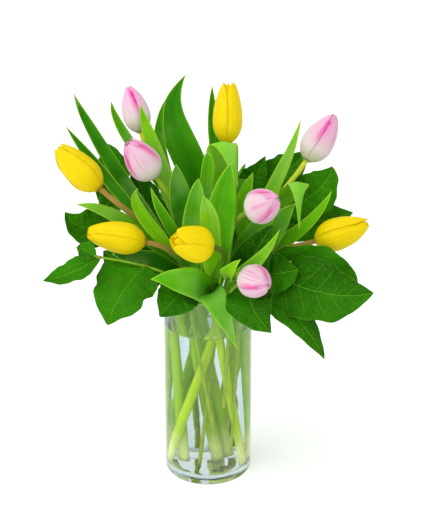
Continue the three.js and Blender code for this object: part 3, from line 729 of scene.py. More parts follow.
# %% [markdown]
# ## Stems
#
# A cut tulip is straight where water holds it and bends towards the light above the rim. The plain solid
# uses a line and then a Bezier curve whose first handle carries the stem's own direction on and whose last
# lies along the bloom's axis; the same curve is used here, so that each finer stem lies on its solid. It is
# thicker at the cut foot. Its colour goes from a pale foot to the light green of a stem under water, which
# differs from stem to stem, then to a deeper green above the rim, and last to the warm tan or yellow just
# below the flower. A curve with a round bevel could draw a stem too, but a tube worked out here can swell,
# change colour along its length, and carry the same numbers as a leaf.

# %% Curves
LOW_HANDLE = 0.38
HIGH_HANDLE = 0.36
TWIG_HANDLE = 0.4
SWAY = 0.35


def bezier(points, share):
    """Sum of the control points, each times its binomial share s^k (1 - s)^(n - k)."""
    points = np.asarray(points, float)
    order = len(points) - 1
    s = np.asarray(share, float)[..., None]
    k = np.arange(order + 1)
    count = np.array([math.comb(order, i) for i in k])
    return (count * s**k * (1 - s) ** (order - k)) @ points


def through(points):
    """Controls of the curve through its points at even shares: one middle point gives 2b - (a + c) / 2."""
    p = np.asarray(points, float)
    if len(p) == 3:
        return np.array([p[0], 2 * p[1] - (p[0] + p[2]) / 2, p[2]])
    first = (-5 * p[0] + 18 * p[1] - 9 * p[2] + 2 * p[3]) / 6
    second = (2 * p[0] - 9 * p[1] + 18 * p[2] - 5 * p[3]) / 6
    return np.array([p[0], first, second, p[3]])


def flower_curve(flower):
    """Foot, neck and the bend above it, whose handles are shares of the reach from neck to head."""
    foot = np.array([*flower["foot"], FOOT_LEVEL]) * MM
    neck = np.array([*flower["neck"], VASE_HEIGHT]) * MM
    head = np.array(flower["head"]) * MM
    reach = np.linalg.norm(head - neck)
    start, end = LOW_HANDLE * reach * unit(neck - foot), HIGH_HANDLE * reach * unit(np.array(flower["axis"]))
    return foot, neck, np.array([neck, neck + start, head - end, head])


def twig_curve(spray):
    """Foot, neck and the bend above it, whose first handle is a share of the way to its middle point."""
    foot = np.array(spray["foot"]) * MM
    neck = np.array([*spray["neck"], VASE_HEIGHT]) * MM
    middle, tip = np.array(spray["twig"]) * MM
    start = TWIG_HANDLE * np.linalg.norm(middle - neck) * unit(neck - foot)
    return foot, neck, np.array([neck, neck + start, middle, tip])


def whole_path(foot, neck, bend, below, above):
    """Straight from foot to neck, then round the bend, with a slow sway of a third of a millimetre."""
    low = foot + np.linspace(0, 1, below, endpoint=False)[:, None] * (neck - foot)
    path = np.concatenate([low, bezier(bend, np.linspace(0, 1, above))])
    s = np.linspace(0, 1, len(path))
    sway = SWAY * MM * np.sin(2 * math.pi * (2.3 * s + 7 * foot[0])) * np.sin(math.pi * s)
    return path + sway[:, None] * np.array([0.8, 0.6, 0])


print("stem curve of yellow_1 ends at", np.round(bezier(flower_curve(TULIPS["yellow_1"])[2], 1.0), 4))

# %% Stem surface
PALE_FOOT = (0.86, 0.9, 0.36)
WET_GREEN = (0.5, 0.7, 0.006)
WET_SHADE = (0.3, 0.55, 0.01)
MID_GREEN = (0.12, 0.34, 0.015)
STEM_ROWS = dict(below=34, above=46)


def mix_along(share, stops):
    """Colour at each share, straight between the stops."""
    places = [at for at, _ in stops]
    return np.stack([np.interp(share, places, [c[i] for _, c in stops]) for i in range(3)], -1)


def towards(first, second, share):
    """The first colour moved by a share of the way to the second."""
    return first + np.asarray(share)[..., None] * (np.array(second) - np.array(first))


def stem_surface(flower, seed):
    """Tube from foot to bloom, from 5.2 mm at the cut to 2.8 mm at the head, with a few soft swellings."""
    path = whole_path(*flower_curve(flower), **STEM_ROWS)
    s = np.linspace(0, 1, len(path))
    radius = (STEM_RADIUS * (1.3 - 0.6 * s) + 0.1 * np.sin(9 * s + 20 * seed)) * MM
    wet = towards(WET_GREEN, WET_SHADE, 0.5 - 0.5 * math.sin(37 * seed))
    stops = [
        (0.03, PALE_FOOT), (0.09, wet), (0.3, wet),
        (0.5, MID_GREEN), (0.72, MID_GREEN), (0.92, flower["under"]),
    ]
    return tube(path, radius, mix_along(s, stops), sides=20, seed=seed)


print("a stem has", len(stem_surface(TULIPS["yellow_1"], 0.0)["points"]), "points")

# %% [markdown]
# ## Leaves
#
# A leaf is a midrib curve with a row of points laid across it at each step. Its outline says how wide the
# row is, the fold lifts both halves like a half-open book, and a wave runs down each margin. This is the
# same formula as that of the plain leaf, on a grid some ten times finer, with what a plain leaf leaves out:
# a trough that clasps the stem, a rounded fold, a needle-fine tip, and on the foliage leaves small teeth and
# a quilted surface between the side veins. A flat card with a picture of a leaf would be quicker, but from
# the side it would show no fold, no thickness and no underside.

# %% Leaf rows and colours
TULIP_SHADES = [
    (0, (0.012, 0.13, 0.001)), (0.5, (0.06, 0.33, 0.002)), (1, (0.19, 0.6, 0.006)), (2, (0.42, 0.76, 0.006)),
]
BROAD_DARK = (0.006, 0.065, 0.001)
BROAD_LIGHT = (0.036, 0.24, 0.001)


def turned(vectors, axes, angles):
    """Each vector turned about its axis: v cos + (axis x v) sin + axis (axis . v)(1 - cos)."""
    c, s = np.cos(angles)[:, None], np.sin(angles)[:, None]
    return vectors * c + np.cross(axes, vectors) * s + axes * (axes * vectors).sum(1, keepdims=True) * (1 - c)


def leaf_rows(base, row, s):
    """Midrib points, and the directions across and up from the leaf, at each share s of its length.

    Across is square to the midrib and to the way the leaf faces, turned by the twist from a third of the way
    up. The midrib's own direction is the Bezier curve of its controls' differences."""
    _, _, face, twist, *points = row
    curve = through([base, *(np.array(points, float) * MM)])
    along = unit(bezier(np.diff(curve, axis=0), s))
    side = unit(np.cross(unit(curve[-1] - base), np.array(face, float)))
    across = unit(side - (along @ side)[:, None] * along)
    across = turned(across, along, -math.radians(twist) * (s - 0.35))
    return bezier(curve, s), across, np.cross(across, along)


def laid_out(rows, spread, lift):
    """A leaf's grid: midrib + across * spread + up * lift."""
    middle, across, up = (values[:, None] for values in rows)
    return middle + across * spread[..., None] + up * lift[..., None]


def tulip_tint(tone, s, v):
    """Deep green at 0, fresh green at 1, yellow green at 2; paler at the margins.

    Darker at the foot: painted shade, as the foot of a leaf lies deep in the bunch.
    """
    # The exp term is painted shade: each leaf darker at its foot, deep in the bunch.
    return mix_along(tone + 0.25 * np.abs(v) ** 3 - 0.2 * s - 0.55 * np.exp(-s / 0.2), TULIP_SHADES)


def broad_tint(tone, s, v):
    """Dark leathery green, lighter with tone, towards the tip and near the midrib.

    One half of the blade is painted lighter and the other darker, as light and shade.
    """
    # The last term is painted light and shade: one half of the blade lighter, the other darker.
    level = np.clip(tone + 0.2 * s + 0.1 * np.cos(3 * v) + 0.2 * np.clip(4 * v, -1, 1), 0, 1.4)
    return towards(BROAD_DARK, BROAD_LIGHT, level / 1.2)


print("a fresh green leaf, halfway up:", np.round(tulip_tint(1.0, 0.5, 0.0), 3))

# %% Tulip leaf surface
TULIP_LEAF_THICK = 0.9


def tulip_leaf_surface(base, row, tone, seed, rows=60, columns=17):
    """Row point = midrib + across * spread + up * lift, with v from -1 to 1 across the leaf.

    Half the width is (s + 0.04)^0.4 (1 - s^1.8)^1.15 / 0.6 of that in the leaf's row, and the spread is v of
    it, a little uneven at the margins. The lift is half the width times (fold + clasp) |v|^1.4 + waves v^2.
    A wide leaf is folded less and waved more, and the clasp doubles up its foot round the stem."""
    width, tip_x = row[1], row[-1][0]
    s = 0.999 * np.linspace(0, 1, rows) ** 0.97
    S, V = np.meshgrid(s, np.linspace(-1, 1, columns), indexing="ij")
    half = width / 2 * MM * (S + 0.04) ** 0.4 * (1 - S**1.8) ** 1.15 / 0.6
    fold = 0.45 - 0.006 * width
    flat = 1 / math.sqrt(1 + 0.8 * fold * fold)
    wave = (0.03 + 0.0028 * width) * np.sin(3 * math.pi * S + 0.1 * tip_x + 1.9 * V)
    small = 0.04 * np.sin(8 * math.pi * S + 9 * seed + 2.5 * V)
    clasp = 0.9 * np.exp(-S / 0.06)
    lift = half * ((fold + clasp) * np.abs(V) ** 1.4 + (wave + small) * V**2)
    uneven = 1 + 0.09 * np.sin(9 * S + 25 * seed + 1.5 * np.sign(V)) * V**2 * (1 - S)
    spread = half * V * flat * uneven * (1 - 0.35 * clasp * np.abs(V))
    grid = laid_out(leaf_rows(base, row, s), spread, lift)
    return blade(grid, TULIP_LEAF_THICK * MM, S, V, half, tulip_tint(tone, S, V), seed)


made = []
for number, (name, flower) in enumerate(TULIPS.items()):
    bend = flower_curve(flower)[2]
    surfaces = [stem_surface(flower, seed=0.1 * number)]
    for k, (row, tone) in enumerate(zip(flower["leaves"], flower["tones"])):
        base, seed = bezier(bend, row[0]), (0.13 * number + 0.29 * k) % 1
        surfaces.append(tulip_leaf_surface(base, row, tone, seed))
    finishes = [tulip_leaf.material, tulip_stem.material]
    made.append(make_piece("leafy_stem_" + name, surfaces, finishes, "stem_" + name))
print("leafy stems:", len(made), "with", sum(map(triangles, made)), "triangles")

# %% [markdown]
# ## Foliage sprays
#
# Each spray is a thin woody shoot. It swells at every leaf joint, where a reddish bud scale sits, and it is
# fresh green where it is young and olive below. A swelling is a bump added to the tube's radius, which costs
# nothing and leaves no seam, unlike a separate ball. The leaves are leathery, with a fine saw edge. Their
# blade is quilted: it bulges between the side veins, which follow the same lines as the painted ones.

# %% Foliage leaf surface
BROAD_LEAF_THICK = 0.8
BROAD_FOLD = 0.22
WIDEST_ROW = 0.3425
TOOTH_EVERY = 2.4
TOOTH_DEEP = 0.45
QUILT_HIGH = 0.9
MIDRIB_DEEP = 0.5


def broad_leaf_surface(base, row, tone, seed, rows=110, columns=29):
    """The same row, less folded and with two and a half waves, plus teeth, quilting and a sunk midrib.

    Half the width is (s + 0.004)^0.62 (1 - s) over the greatest value of that, a little uneven, and its saw
    edge has a tooth every TOOTH_EVERY mm. Between two side veins the blade rises by QUILT_HIGH mm times (1 -
    cos) / 2 of the place between them, times the sine of the way across. Columns of points lie closer near
    the margins."""
    width, tip_x = row[1], row[-1][0]
    s = 0.999 * np.linspace(0, 1, rows)
    v = np.sin(np.linspace(-1, 1, columns) * 0.48 * math.pi) / math.sin(0.48 * math.pi)
    S, V = np.meshgrid(s, v, indexing="ij")
    laid = leaf_rows(base, row, s)
    length = np.linalg.norm(np.diff(laid[0], axis=0), axis=1).sum()
    half = width / 2 * MM * (S + 0.004) ** 0.62 * (1 - S) / WIDEST_ROW
    teeth = np.round(length / (TOOTH_EVERY * MM))
    saw = TOOTH_DEEP * MM * ((S * teeth) % 1.0 - 0.5) * np.minimum(1, half / (4 * MM))
    flat = 1 / math.sqrt(1 + 0.8 * BROAD_FOLD * BROAD_FOLD)
    wave = 0.12 * np.sin(5 * math.pi * S + 0.1 * tip_x + 1.9 * V)
    order = S * SIDE_VEINS - SWEEP * np.abs(V) ** BOW
    quilt = 0.5 * (1 - np.cos(2 * math.pi * order)) * np.sin(math.pi * np.abs(V)) ** 0.8
    sunk = MIDRIB_DEEP * np.exp(-((half * V / (1.6 * MM)) ** 2))
    detail = (QUILT_HIGH * quilt * np.minimum(1, half / (14 * MM)) - sunk) * MM
    lift = half * (BROAD_FOLD * np.abs(V) ** 1.3 + wave * V**2) + detail
    side = np.sign(V)
    uneven = 1 + (0.05 * np.sin(15 * S + 21 * seed + 2 * side) + 0.03 * np.sin(34 * S + 5 * side)) * V**2
    spread = (half * V * uneven + saw * side * np.abs(V) ** 8) * flat
    grid = laid_out(laid, spread, lift)
    return blade(grid, BROAD_LEAF_THICK * MM, S, V, half, broad_tint(tone, S, V), seed)


def rib_surface(base, row, seed):
    """The stalk and the midrib under a foliage leaf: a tube from 1.15 mm to 0.3 mm, just below the blade."""
    s = np.linspace(0, 0.9, 36)
    middle, _, up = leaf_rows(base, row, s)
    radius = np.interp(s, [0, 0.08, 0.9], [1.15, 0.85, 0.3]) * MM
    under = (radius + 0.5 * MM) * np.minimum(1, s / 0.08)
    tint = mix_along(s, [(0, (0.3, 0.42, 0.08)), (0.9, (0.2, 0.45, 0.08))])
    return tube(middle - up * under[:, None], radius, tint, sides=8, seed=seed)


print("a foliage leaf has", len(facets(110, 29)), "quads a side, for teeth", TOOTH_EVERY, "mm apart")

# %% Twigs and sprays
TWIG_ROWS = dict(below=40, above=70)
YOUNG = (0.26, 0.55, 0.03)
WOODY = (0.36, 0.46, 0.02)
BUD_SCALE = (0.28, 0.11, 0.03)
OLD_JOINTS = [0.16, 0.3]


def twig_surface(spray, seed):
    """Tube whose radius goes from 1.9 mm at the cut to 1.7 and then 1.15 mm, plus 0.8 mm at every joint."""
    path = whole_path(*twig_curve(spray), **TWIG_ROWS)
    s = np.linspace(0, 1, len(path))
    radius = np.interp(s, [0, 0.4, 1], [TWIG_RADIUS + 0.2, TWIG_RADIUS, 1.15])
    below, above = TWIG_ROWS["below"], TWIG_ROWS["above"]
    joints = [(below + (above - 1) * row[0]) / (below + above - 1) for row in spray["leaves"]] + OLD_JOINTS
    bump = sum(np.exp(-(((s - at) / 0.011) ** 2)) for at in joints)
    tint = towards(WOODY, YOUNG, np.clip(s * 2.2, 0, 1))
    tint = towards(tint, BUD_SCALE, 0.75 * np.clip(bump, 0, 1) * np.clip(8 * s - 2.4, 0.2, 1))
    return tube(path, (radius + 0.8 * bump) * MM, tint, sides=12, seed=seed)


made = []
for number, (name, spray) in enumerate(SPRAYS.items()):
    bend = twig_curve(spray)[2]
    surfaces = [twig_surface(spray, seed=0.07 * number)]
    for k, (row, tone) in enumerate(zip(spray["leaves"], spray["tones"])):
        base, seed = bezier(bend, row[0]), (0.17 * number + 0.31 * k) % 1
        surfaces += [broad_leaf_surface(base, row, tone, seed), rib_surface(base, row, seed)]
    finishes = [broad_leaf.material, twig_bark.material]
    made.append(make_piece("foliage_" + name, surfaces, finishes, "spray_" + name))
print("sprays:", len(made), "with", sum(map(triangles, made)), "triangles")

# %% [markdown]
# ## Blooms
#
# A tulip has six petals in two rings of three. Each is a piece of a cup: it goes up the cup by s and round
# it by an angle, out to a limit where the neighbours overlap. Two small things make it read as a tulip and
# not as a smooth egg. Each petal is a little rounder than the cup, so that its margins dip in and leave a
# dark seam, and one margin lies over the next petal while the other goes under. A sculpted mesh could hold
# the same shape, but a formula keeps ten blooms alike and still lets each have its own opening, roll and
# blush.

# %% Bloom shape and colours
WIDEST = 0.36
YELLOW, ORANGE = (0.77, 0.61, 0.0), (0.72, 0.42, 0.0)
CREAM, WHITE, PINK, MAGENTA = (0.5, 0.54, 0.3), (0.66, 0.63, 0.58), (0.76, 0.48, 0.64), (0.76, 0.03, 0.33)


def cup(s, mouth):
    """Radius share up the bloom: the root of a sine to the widest place, then 1 - (1 - mouth) t^2.1."""
    low = np.sin(np.clip(s / WIDEST, 0, 1) * math.pi / 2) ** 0.5
    high = 1 - (1 - mouth) * np.clip((s - WIDEST) / (1 - WIDEST), 0, 1) ** 2.1
    return np.where(s < WIDEST, low, high)


def ramp(values, start, run):
    """0 up to start, 1 past start + run, straight between."""
    return np.clip((values - start) / run, 0, 1)


def yellow_tint(s, v, inner):
    """Clear yellow; orange at the foot, along the margins that meet, and on the inner petals low down."""
    share = 0.5 * np.exp(-s / 0.05) + 0.25 * np.abs(v) ** 14 * (1 - 0.6 * s) + 0.3 * inner * (1 - 0.5 * s)
    return towards(YELLOW, ORANGE, np.clip(share, 0, 1))


def pink_tint(s, v, inner, blush):
    """Green cream at the foot, white, then pink towards the tip and margins; magenta where petals overlap."""
    tone = towards(CREAM, WHITE, ramp(s, 0.02, 0.25))
    share = ramp(s + 0.2 * np.abs(v) ** 1.5, 0.35, 0.5) * (0.3 + 0.7 * blush)
    tone = towards(tone, PINK, np.clip(share + 0.4 * inner * ramp(s, 0, 0.625), 0, 1))
    line = ramp(np.abs(v), 0.62, 0.3) * ramp(s, 0.25, 0.35) * (0.5 + 0.5 * blush)
    line = np.clip(line + 0.3 * inner * ramp(s, 0, 0.625) * (0.4 + 0.6 * blush), 0, 1)
    return towards(tone, MAGENTA, line * (1 - 0.75 * ramp(s, 0.82, 0.12)))


print("radius share at foot, middle and tip:", np.round(cup(np.array([0.05, 0.5, 1.0]), 0.3), 2))

# %% Petals, seat and heart
PETAL_THICK = 0.85

# Millimetres: how far in a petal lies at its foot, and how much less at its tip; its least radius low down,
# near the tip, and after its waves. Degrees: its angle each way, and its turn. Last, the two powers of its
# outline, and whether it is an inner one.
OUTER = SimpleNamespace(
    layer=0.0, less=0.0, root=4.4, top=1.6, least=1.2, limit=66, turn=0, square=8, ease=0.55, inner=0
)
INNER = SimpleNamespace(
    layer=2.6, less=1.4, root=2.0, top=0.5, least=0.5, limit=60, turn=60, square=14, ease=0.4, inner=1
)


def petal_surface(flower, k, ring, seed, rows=34, columns=25):
    """One petal in the bloom's own upright frame, from its foot at s = 0 to its tip at s = 1.

    Radius = half the bloom's width times the cup, less its layer, plus what the petal leans out, plus 0.6 mm
    times v so that one margin overlaps, less 0.5 mm times v^4 so that both dip, plus a ripple and less a
    ridge down the middle. The angle each way is the ring's limit times (1.002 - s^square)^ease, so that the
    outer petals part near the tip and the inner ones close. The margin is gently notched."""
    length, width, blush = flower["length"], flower["width"], flower["blush"]
    mouth = flower["mouth"] * (flower.get("core", 0.8) if ring.inner else 1)
    s = 0.999 * np.linspace(0, 1, rows) ** 0.9
    S, V = np.meshgrid(s, np.linspace(-1, 1, columns), indexing="ij")
    root = ring.root - (ring.root - ring.top) * ramp(S, 0.4, 0.3)
    radius = np.maximum(width / 2 * cup(S, mouth) - (ring.layer - ring.less * S), root)
    notch = 1 + 0.05 * np.sin(23 * S + 40 * seed) * S**3
    reach = math.radians(ring.limit) * (1.002 - S**ring.square) ** ring.ease * notch
    half = radius * reach
    lean = flower["loose"] * math.sin(40 * seed) * ramp(S, 0.45, 0.55) ** 2
    overlap, dip = 0.6 * V * np.clip(4 * S, 0, 1), 0.5 * V**4 * np.clip(3 * S, 0, 1)
    ripple = 0.5 * np.sin(14 * S + 30 * seed + 3 * V) * np.abs(V) ** 3 * S
    ridge = 0.3 * np.exp(-((V / 0.1) ** 2)) * np.sin(math.pi * np.clip(S * 1.1, 0, 1))
    radius = np.maximum(radius + lean + overlap - dip + ripple - ridge, ring.least)
    angle = math.radians(flower["roll"] + 120 * k + ring.turn) + reach * V
    height = length * S + 1 - 1.2 * V**2 * S**4 + 0.6 * math.sin(50 * seed) * S
    grid = np.stack([radius * np.cos(angle), radius * np.sin(angle), height], -1) * MM
    tint = pink_tint(S, V, ring.inner, blush) if blush else yellow_tint(S, V, ring.inner)
    return blade(grid, PETAL_THICK * MM, S, V, half * MM, tint, seed)


def upright(z):
    """Points up the bloom's own axis, from heights in millimetres."""
    return np.stack([0 * z, 0 * z, z], -1) * MM


def seat_surface(flower):
    """The swelling under the petals: a short tube whose radius follows a quarter of an ellipse."""
    z = np.linspace(0.2, 5.5, 12)
    radius = (3.3 + 2.6 * np.sin((z - 0.2) / 5.3 * math.pi / 2)) * MM
    top = (0.62, 0.66, 0.25) if flower["blush"] else (0.8, 0.62, 0.03)
    return tube(upright(z), radius, mix_along(z, [(0.2, flower["under"]), (3.5, top)]), sides=18)


def heart_surfaces(flower):
    """Inside an open bloom: the pistil, and six stamens that lean out from it, each with its anther."""
    z = np.linspace(2, 0.42 * flower["length"], 14)
    pistil = np.interp(z, [2, z[-1] - 3, z[-1]], [2.4, 2.0, 2.9]) * MM
    parts = [tube(upright(z), pistil, (0.45, 0.55, 0.15), sides=12)]
    t = np.linspace(0, 1, 16)
    reach, high = 3.2 + 3.4 * t, 2 + 0.36 * flower["length"] * t
    anther = 1.25 * np.sin(ramp(t, 0.5, 0.5) * math.pi) ** 0.5 + 0.3
    radius = np.where(t > 0.55, anther, 0.6) * MM
    tint = mix_along(t, [(0, (0.65, 0.6, 0.1)), (0.55, (0.6, 0.5, 0.08)), (0.6, (0.6, 0.42, 0.05))])
    for k in range(6):
        a = math.pi / 3 * k + 0.3
        path = np.stack([reach * math.cos(a), reach * math.sin(a), high], -1) * MM
        parts.append(tube(path, radius, tint, sides=8))
    return parts


print("a petal has", len(facets(34, 25)), "quads a side")

# %% Ten blooms


def upright_to(axis):
    """Turn that takes Z to the axis the short way: I + K + K^2 / (1 + cos)."""
    x, y, z = np.cross((0, 0, 1), axis)
    k = np.array([[0, -z, y], [z, 0, -x], [-y, x, 0]])
    return np.eye(3) + k + k @ k / (1 + axis[2])


made = []
for number, (name, flower) in enumerate(TULIPS.items()):
    turn = upright_to(unit(np.array(flower["axis"])))
    surfaces = [seat_surface(flower), *heart_surfaces(flower)]
    for k in range(3):
        surfaces.append(petal_surface(flower, k, OUTER, seed=(0.11 * number + 0.23 * k) % 1))
        surfaces.append(petal_surface(flower, k, INNER, seed=(0.19 * number + 0.37 * k + 0.5) % 1))
    for surface in surfaces:
        surface["points"] = surface["points"] @ turn.T + np.array(flower["head"]) * MM
    finishes = [(pink_petal if flower["blush"] else yellow_petal).material, tulip_stem.material]
    made.append(make_piece("tulip_bloom_" + name, surfaces, finishes, "bloom_" + name))
print("blooms:", len(made), "with", sum(map(triangles, made)), "triangles")

# %% [markdown]
# ## Glass and water
#
# The vase is blown clear glass with a thick foot. Its profile is turned about the upright axis, with round
# lips where the flame softened them. The water is turned too, and its surface climbs a little where it wets
# the wall. Where the two meet, light bends once, by the ratio of glass to water. So the wetted wall has that
# ratio as its own, and the side of the water, which lies a hair within the glass, bends nothing: no film of
# air then shows as a mirror. Glass and water let lamp light straight through, which a path tracer would
# otherwise find only by luck. The Screw modifier could turn the profile as well, but here each face knows
# its place in the profile, so the wetted part of the wall gets its own material.

# %% Turned surfaces
TURNS = 128


def arc(centre, radius, start, end, count=7):
    """Points of a circle's arc, from one angle to another in degrees."""
    a = np.radians(np.linspace(start, end, count))
    return [(centre[0] + radius * math.cos(t), centre[1] + radius * math.sin(t)) for t in a]


def turned_surface(profile, change):
    """A profile of radius and height carried round Z; a radius of zero at its ends closes as one point each.

    Faces past the profile's point number change, counted from 0, are of the second material."""
    profile = np.array(profile, float) * MM
    turn = np.arange(TURNS)
    after = (turn + 1) % TURNS
    a = turn * 2 * math.pi / TURNS
    ring = profile[1:-1, :, None]
    grid = np.stack(np.broadcast_arrays(ring[:, 0] * np.cos(a), ring[:, 0] * np.sin(a), ring[:, 1]), -1)
    points = np.concatenate([grid.reshape(-1, 3), [[0, 0, profile[0, 1]], [0, 0, profile[-1, 1]]]])
    count = len(points)
    quads = facets(len(ring), TURNS, around=True)
    edge = (len(ring) - 1) * TURNS
    start = np.stack([np.full(TURNS, count - 2), after, turn], -1)
    end = np.stack([np.full(TURNS, count - 1), edge + turn, edge + after], -1)
    second = np.repeat(np.arange(1, len(ring)) >= change, TURNS)
    return dict(
        points=points, loops=np.concatenate([quads.ravel(), start.ravel(), end.ravel()]),
        sizes=np.concatenate([np.full(len(quads), 4), np.full(2 * TURNS, 3)]), uv=np.zeros((count, 2)),
        tint=np.ones((count, 3)), place=np.zeros((count, 3)), below=np.zeros(count),
        material=np.concatenate([second, np.zeros(TURNS), np.ones(TURNS)]),
    )


print("a quarter of a round lip of 2 mm:", np.round(arc((0, 0), 2.0, 0, 90, 3), 2).tolist())

# %% Clear materials
LAMP_LIGHT = ("Is Shadow Ray", "Is Diffuse Ray")
SEEN_THROUGH = ("Is Transmission Ray",)


def clear_material(name, tint, bend, waves, level, straight_for=LAMP_LIGHT):
    """Clear glass or water: full transmission, faint waves in its surface, and a straight way for lamp
    light.

    Rays of the kinds in straight_for aren't bent, and take 0.7 of the tint."""
    material, tree, shader = new_material(name)
    patches = use(tree, mottle, "Patches", Scale=22.0, Seed=0.3)
    plug(tree, shader.inputs["Roughness"], maths(tree, "MULTIPLY", patches, 0.006))
    relief(tree, shader, patches, waves, 0.5)
    set_plain(shader, {
        "Base Color": colour(*tint), "IOR": bend, "Specular IOR Level": level, "Transmission Weight": 1.0,
    })
    path = add(tree, "ShaderNodeLightPath").outputs
    pale = colour(*(0.3 + 0.7 * c for c in tint))
    straight = add(tree, "ShaderNodeBsdfTransparent", {"Color": pale}).outputs[0]
    surface = shader.outputs[0]
    for kind in straight_for:
        surface = add(tree, "ShaderNodeMixShader", {0: path[kind], 1: surface, 2: straight}).outputs[0]
    plug(tree, tree.nodes["Material Output"].inputs["Surface"], surface)
    return material


GLASS_BEND = 1.5
WATER_BEND = 1.333
clear_glass = clear_material("clear_glass", (0.88, 0.945, 0.95), GLASS_BEND, 0.4, 0.2)
wet_glass = clear_material("wet_glass", (0.97, 0.99, 0.985), GLASS_BEND / WATER_BEND, 0.1, 0.5)
water_side = clear_material("water_side", (1.0, 1.0, 1.0), 1.0, 0.0, 0.5, LAMP_LIGHT + SEEN_THROUGH)
clear_water = clear_material("clear_water", (0.95, 0.985, 0.965), WATER_BEND, 0.2, 0.5)
print("made", [m.name for m in (clear_glass, wet_glass, water_side, clear_water)])

# %% Vase and water
INSIDE = VASE_RADIUS - WALL
WET_LEVEL = WATER_LEVEL + 1.6
WATER_RADIUS = INSIDE + 0.12
FOOT_ROUND = 3.0
FLOOR_ROUND = 5.0
LIP = WALL / 2

vase_profile = [
    (0, 0.6), (24, 0.6), (44, 0.5), (46.5, 0),
    *arc((VASE_RADIUS - FOOT_ROUND, FOOT_ROUND), FOOT_ROUND, -90, 0, 13),
    *((VASE_RADIUS, height) for height in (12, 60, 120, 190, VASE_HEIGHT - 6)),
    *arc((VASE_RADIUS - LIP, VASE_HEIGHT - LIP), LIP, 0, 180, 13),
    *((INSIDE, height) for height in (VASE_HEIGHT - 6, WET_LEVEL, 120, 60, BASE + 7)),
    *arc((INSIDE - FLOOR_ROUND, BASE + FLOOR_ROUND), FLOOR_ROUND, 0, -90),
    (34, BASE - 0.4), (20, BASE - 0.8), (0, BASE - 1),
]
vase_surface = turned_surface(vase_profile, vase_profile.index((INSIDE, WET_LEVEL)))
vase = make_piece("glass_vase", [vase_surface], [clear_glass, wet_glass], "vase")

water_profile = [
    (0, BASE - 1.1), (20, BASE - 0.9), (34, BASE - 0.5),
    *arc((WATER_RADIUS - FLOOR_ROUND, BASE + 4.9), FLOOR_ROUND, -90, 0),
    *((WATER_RADIUS, height) for height in (BASE + 12, 60, 120, WET_LEVEL)),
    (INSIDE - 0.35, WATER_LEVEL + 1.2), (INSIDE - 1.1, WATER_LEVEL + 0.45), (INSIDE - 2.4, WATER_LEVEL + 0.1),
    (INSIDE - 5, WATER_LEVEL), (20, WATER_LEVEL), (0, WATER_LEVEL),
]
water_surface = turned_surface(water_profile, water_profile.index((WATER_RADIUS, WET_LEVEL)))
water = make_piece("vase_water", [water_surface], [water_side, clear_water], "water")
print("vase and water:", triangles(vase), triangles(water), "triangles")

# %% [markdown]
# ## Table, light and camera
#
# The set is a plain white sweep. Two very large lamps far off light it. One high on the left gives each
# petal its round shape and throws the soft shadow to the right of the vase; a weaker one in front on the
# right keeps that side open, and a pale sky fills the rest. Rays that pass through glass see another set: a
# blue grey table that glows a little, darker to both sides, and a dimmer sky that darkens towards its edge.
# Dark cards beside a real vase do the same, and draw its grey rims. A dark ring round the foot on that table
# is painted shade under the thick foot. The camera looks down by 24 degrees, as in the photograph.

# %% Table
TABLE = 6.0
table_top = bpy.data.meshes.new("table")
corners = [(x * TABLE, y * TABLE, -MM / 2) for x, y in ((-1, -1), (1, -1), (1, 1), (-1, 1))]
table_top.from_pydata(corners, [], [(0, 1, 2, 3)])
table = bpy.data.objects.new("table", table_top)
bpy.context.scene.collection.objects.link(table)

white, tree, shader = new_material("white_table")
grain = use(tree, mottle, "Patches", Scale=3.0, Seed=0.1)
seen = add(tree, "ShaderNodeLightPath").outputs
sweep = mixed(tree, grain, colour(0.94, 0.94, 0.94), colour(0.955, 0.955, 0.955))
spot = add(tree, "ShaderNodeTexCoord").outputs["Object"]
aside = maths(tree, "ABSOLUTE", parts_of(tree, spot)[0])
from_middle = add(tree, "ShaderNodeVectorMath", {0: spot}, operation="LENGTH").outputs["Value"]
ring_outside = fade(tree, from_middle, 0.053, 0.064, 0.8, 0.0)
# Painted shade, seen only through the glass: a dark ring where the thick foot meets the table.
foot_shade_ring = maths(tree, "MULTIPLY", fade(tree, from_middle, 0.042, 0.048), ring_outside)
cards = fade(tree, aside, 0.06, 0.24)
through_glass = mixed(tree, cards, colour(0.49, 0.58, 0.61), colour(0.12, 0.19, 0.21))
through_glass = mixed(tree, foot_shade_ring, through_glass, colour(0.1, 0.2, 0.22))
plug(tree, shader.inputs["Base Color"], mixed(tree, seen["Is Transmission Ray"], sweep, through_glass))
bare = maths(tree, "MULTIPLY", seen["Is Camera Ray"], 0.1)
# Painted light: the table glows for rays through the glass, less towards the dark sides.
glow_through_glass = maths(tree, "MULTIPLY", seen["Is Transmission Ray"], maths(tree, "MULTIPLY_ADD", cards, -0.12, 0.16))
plug(tree, shader.inputs["Emission Strength"], maths(tree, "ADD", glow_through_glass, bare))
set_plain(shader, {"Roughness": 0.75, "Specular IOR Level": 0.1, "Emission Color": colour(1.0, 1.0, 1.0)})
table_top.materials.append(white)
print("table", 2 * TABLE, "m across")

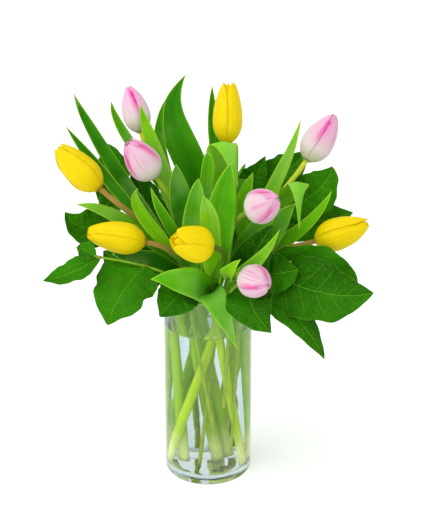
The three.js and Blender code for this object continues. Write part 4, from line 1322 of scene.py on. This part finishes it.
# %% Sky
sky = bpy.data.worlds.new("studio")
bpy.context.scene.world = sky
sky.use_nodes = True
tree = sky.node_tree
ground = tree.nodes["Background"]
height = parts_of(tree, add(tree, "ShaderNodeTexCoord").outputs["Generated"])[2]
rise = fade(tree, height, -0.1, 0.55)
lit = mixed(tree, rise, colour(0.72, 0.78, 0.79), colour(1.0, 1.0, 1.0))
dim = mixed(tree, rise, colour(0.4, 0.49, 0.51), colour(0.9, 0.95, 0.96))
path = add(tree, "ShaderNodeLightPath").outputs
shade = mixed(tree, path["Is Transmission Ray"], lit, dim)
plug(tree, ground.inputs["Color"], mixed(tree, path["Is Camera Ray"], shade, colour(1.2, 1.2, 1.2)))
ground.inputs["Strength"].default_value = 0.84
print("sky", sky.name)

# %% Lamps and camera
TILT = math.radians(24)
DISTANCE = 1.5
TARGET = (5.2, 0, 271)
SENSOR = 36
FOCAL_PIXELS = 1329.3
PHOTO_HEIGHT = 515


def soft_lamp(name, place, across, power):
    """A very large lamp far off, across in degrees: its light falls from place towards the origin."""
    data = bpy.data.lights.new(name, "SUN")
    data.angle, data.energy = math.radians(across), power
    lamp = bpy.data.objects.new(name, data)
    bpy.context.scene.collection.objects.link(lamp)
    way = -unit(np.array(place, float))
    lamp.location = place
    lamp.rotation_euler = (math.acos(-way[2]), 0, math.atan2(way[1], way[0]) - math.pi / 2)


soft_lamp("key", (-1.5, -0.9, 2.0), 75, 1.8)
soft_lamp("fill", (1.2, -2.4, 1.6), 50, 0.25)

eye = np.array(TARGET) * MM - DISTANCE * np.array((0, math.cos(TILT), -math.sin(TILT)))
lens = bpy.data.cameras.new("camera")
lens.lens = SENSOR * FOCAL_PIXELS / PHOTO_HEIGHT
lens.sensor_width = SENSOR
camera = bpy.data.objects.new("camera", lens)
bpy.context.scene.collection.objects.link(camera)
camera.location = eye
camera.rotation_euler = (math.pi / 2 - TILT, 0, 0)
bpy.context.scene.camera = camera
bpy.context.scene.view_settings.view_transform = "Standard"
print("camera at", np.round(eye, 3), "with a", round(lens.lens, 1), "mm lens")
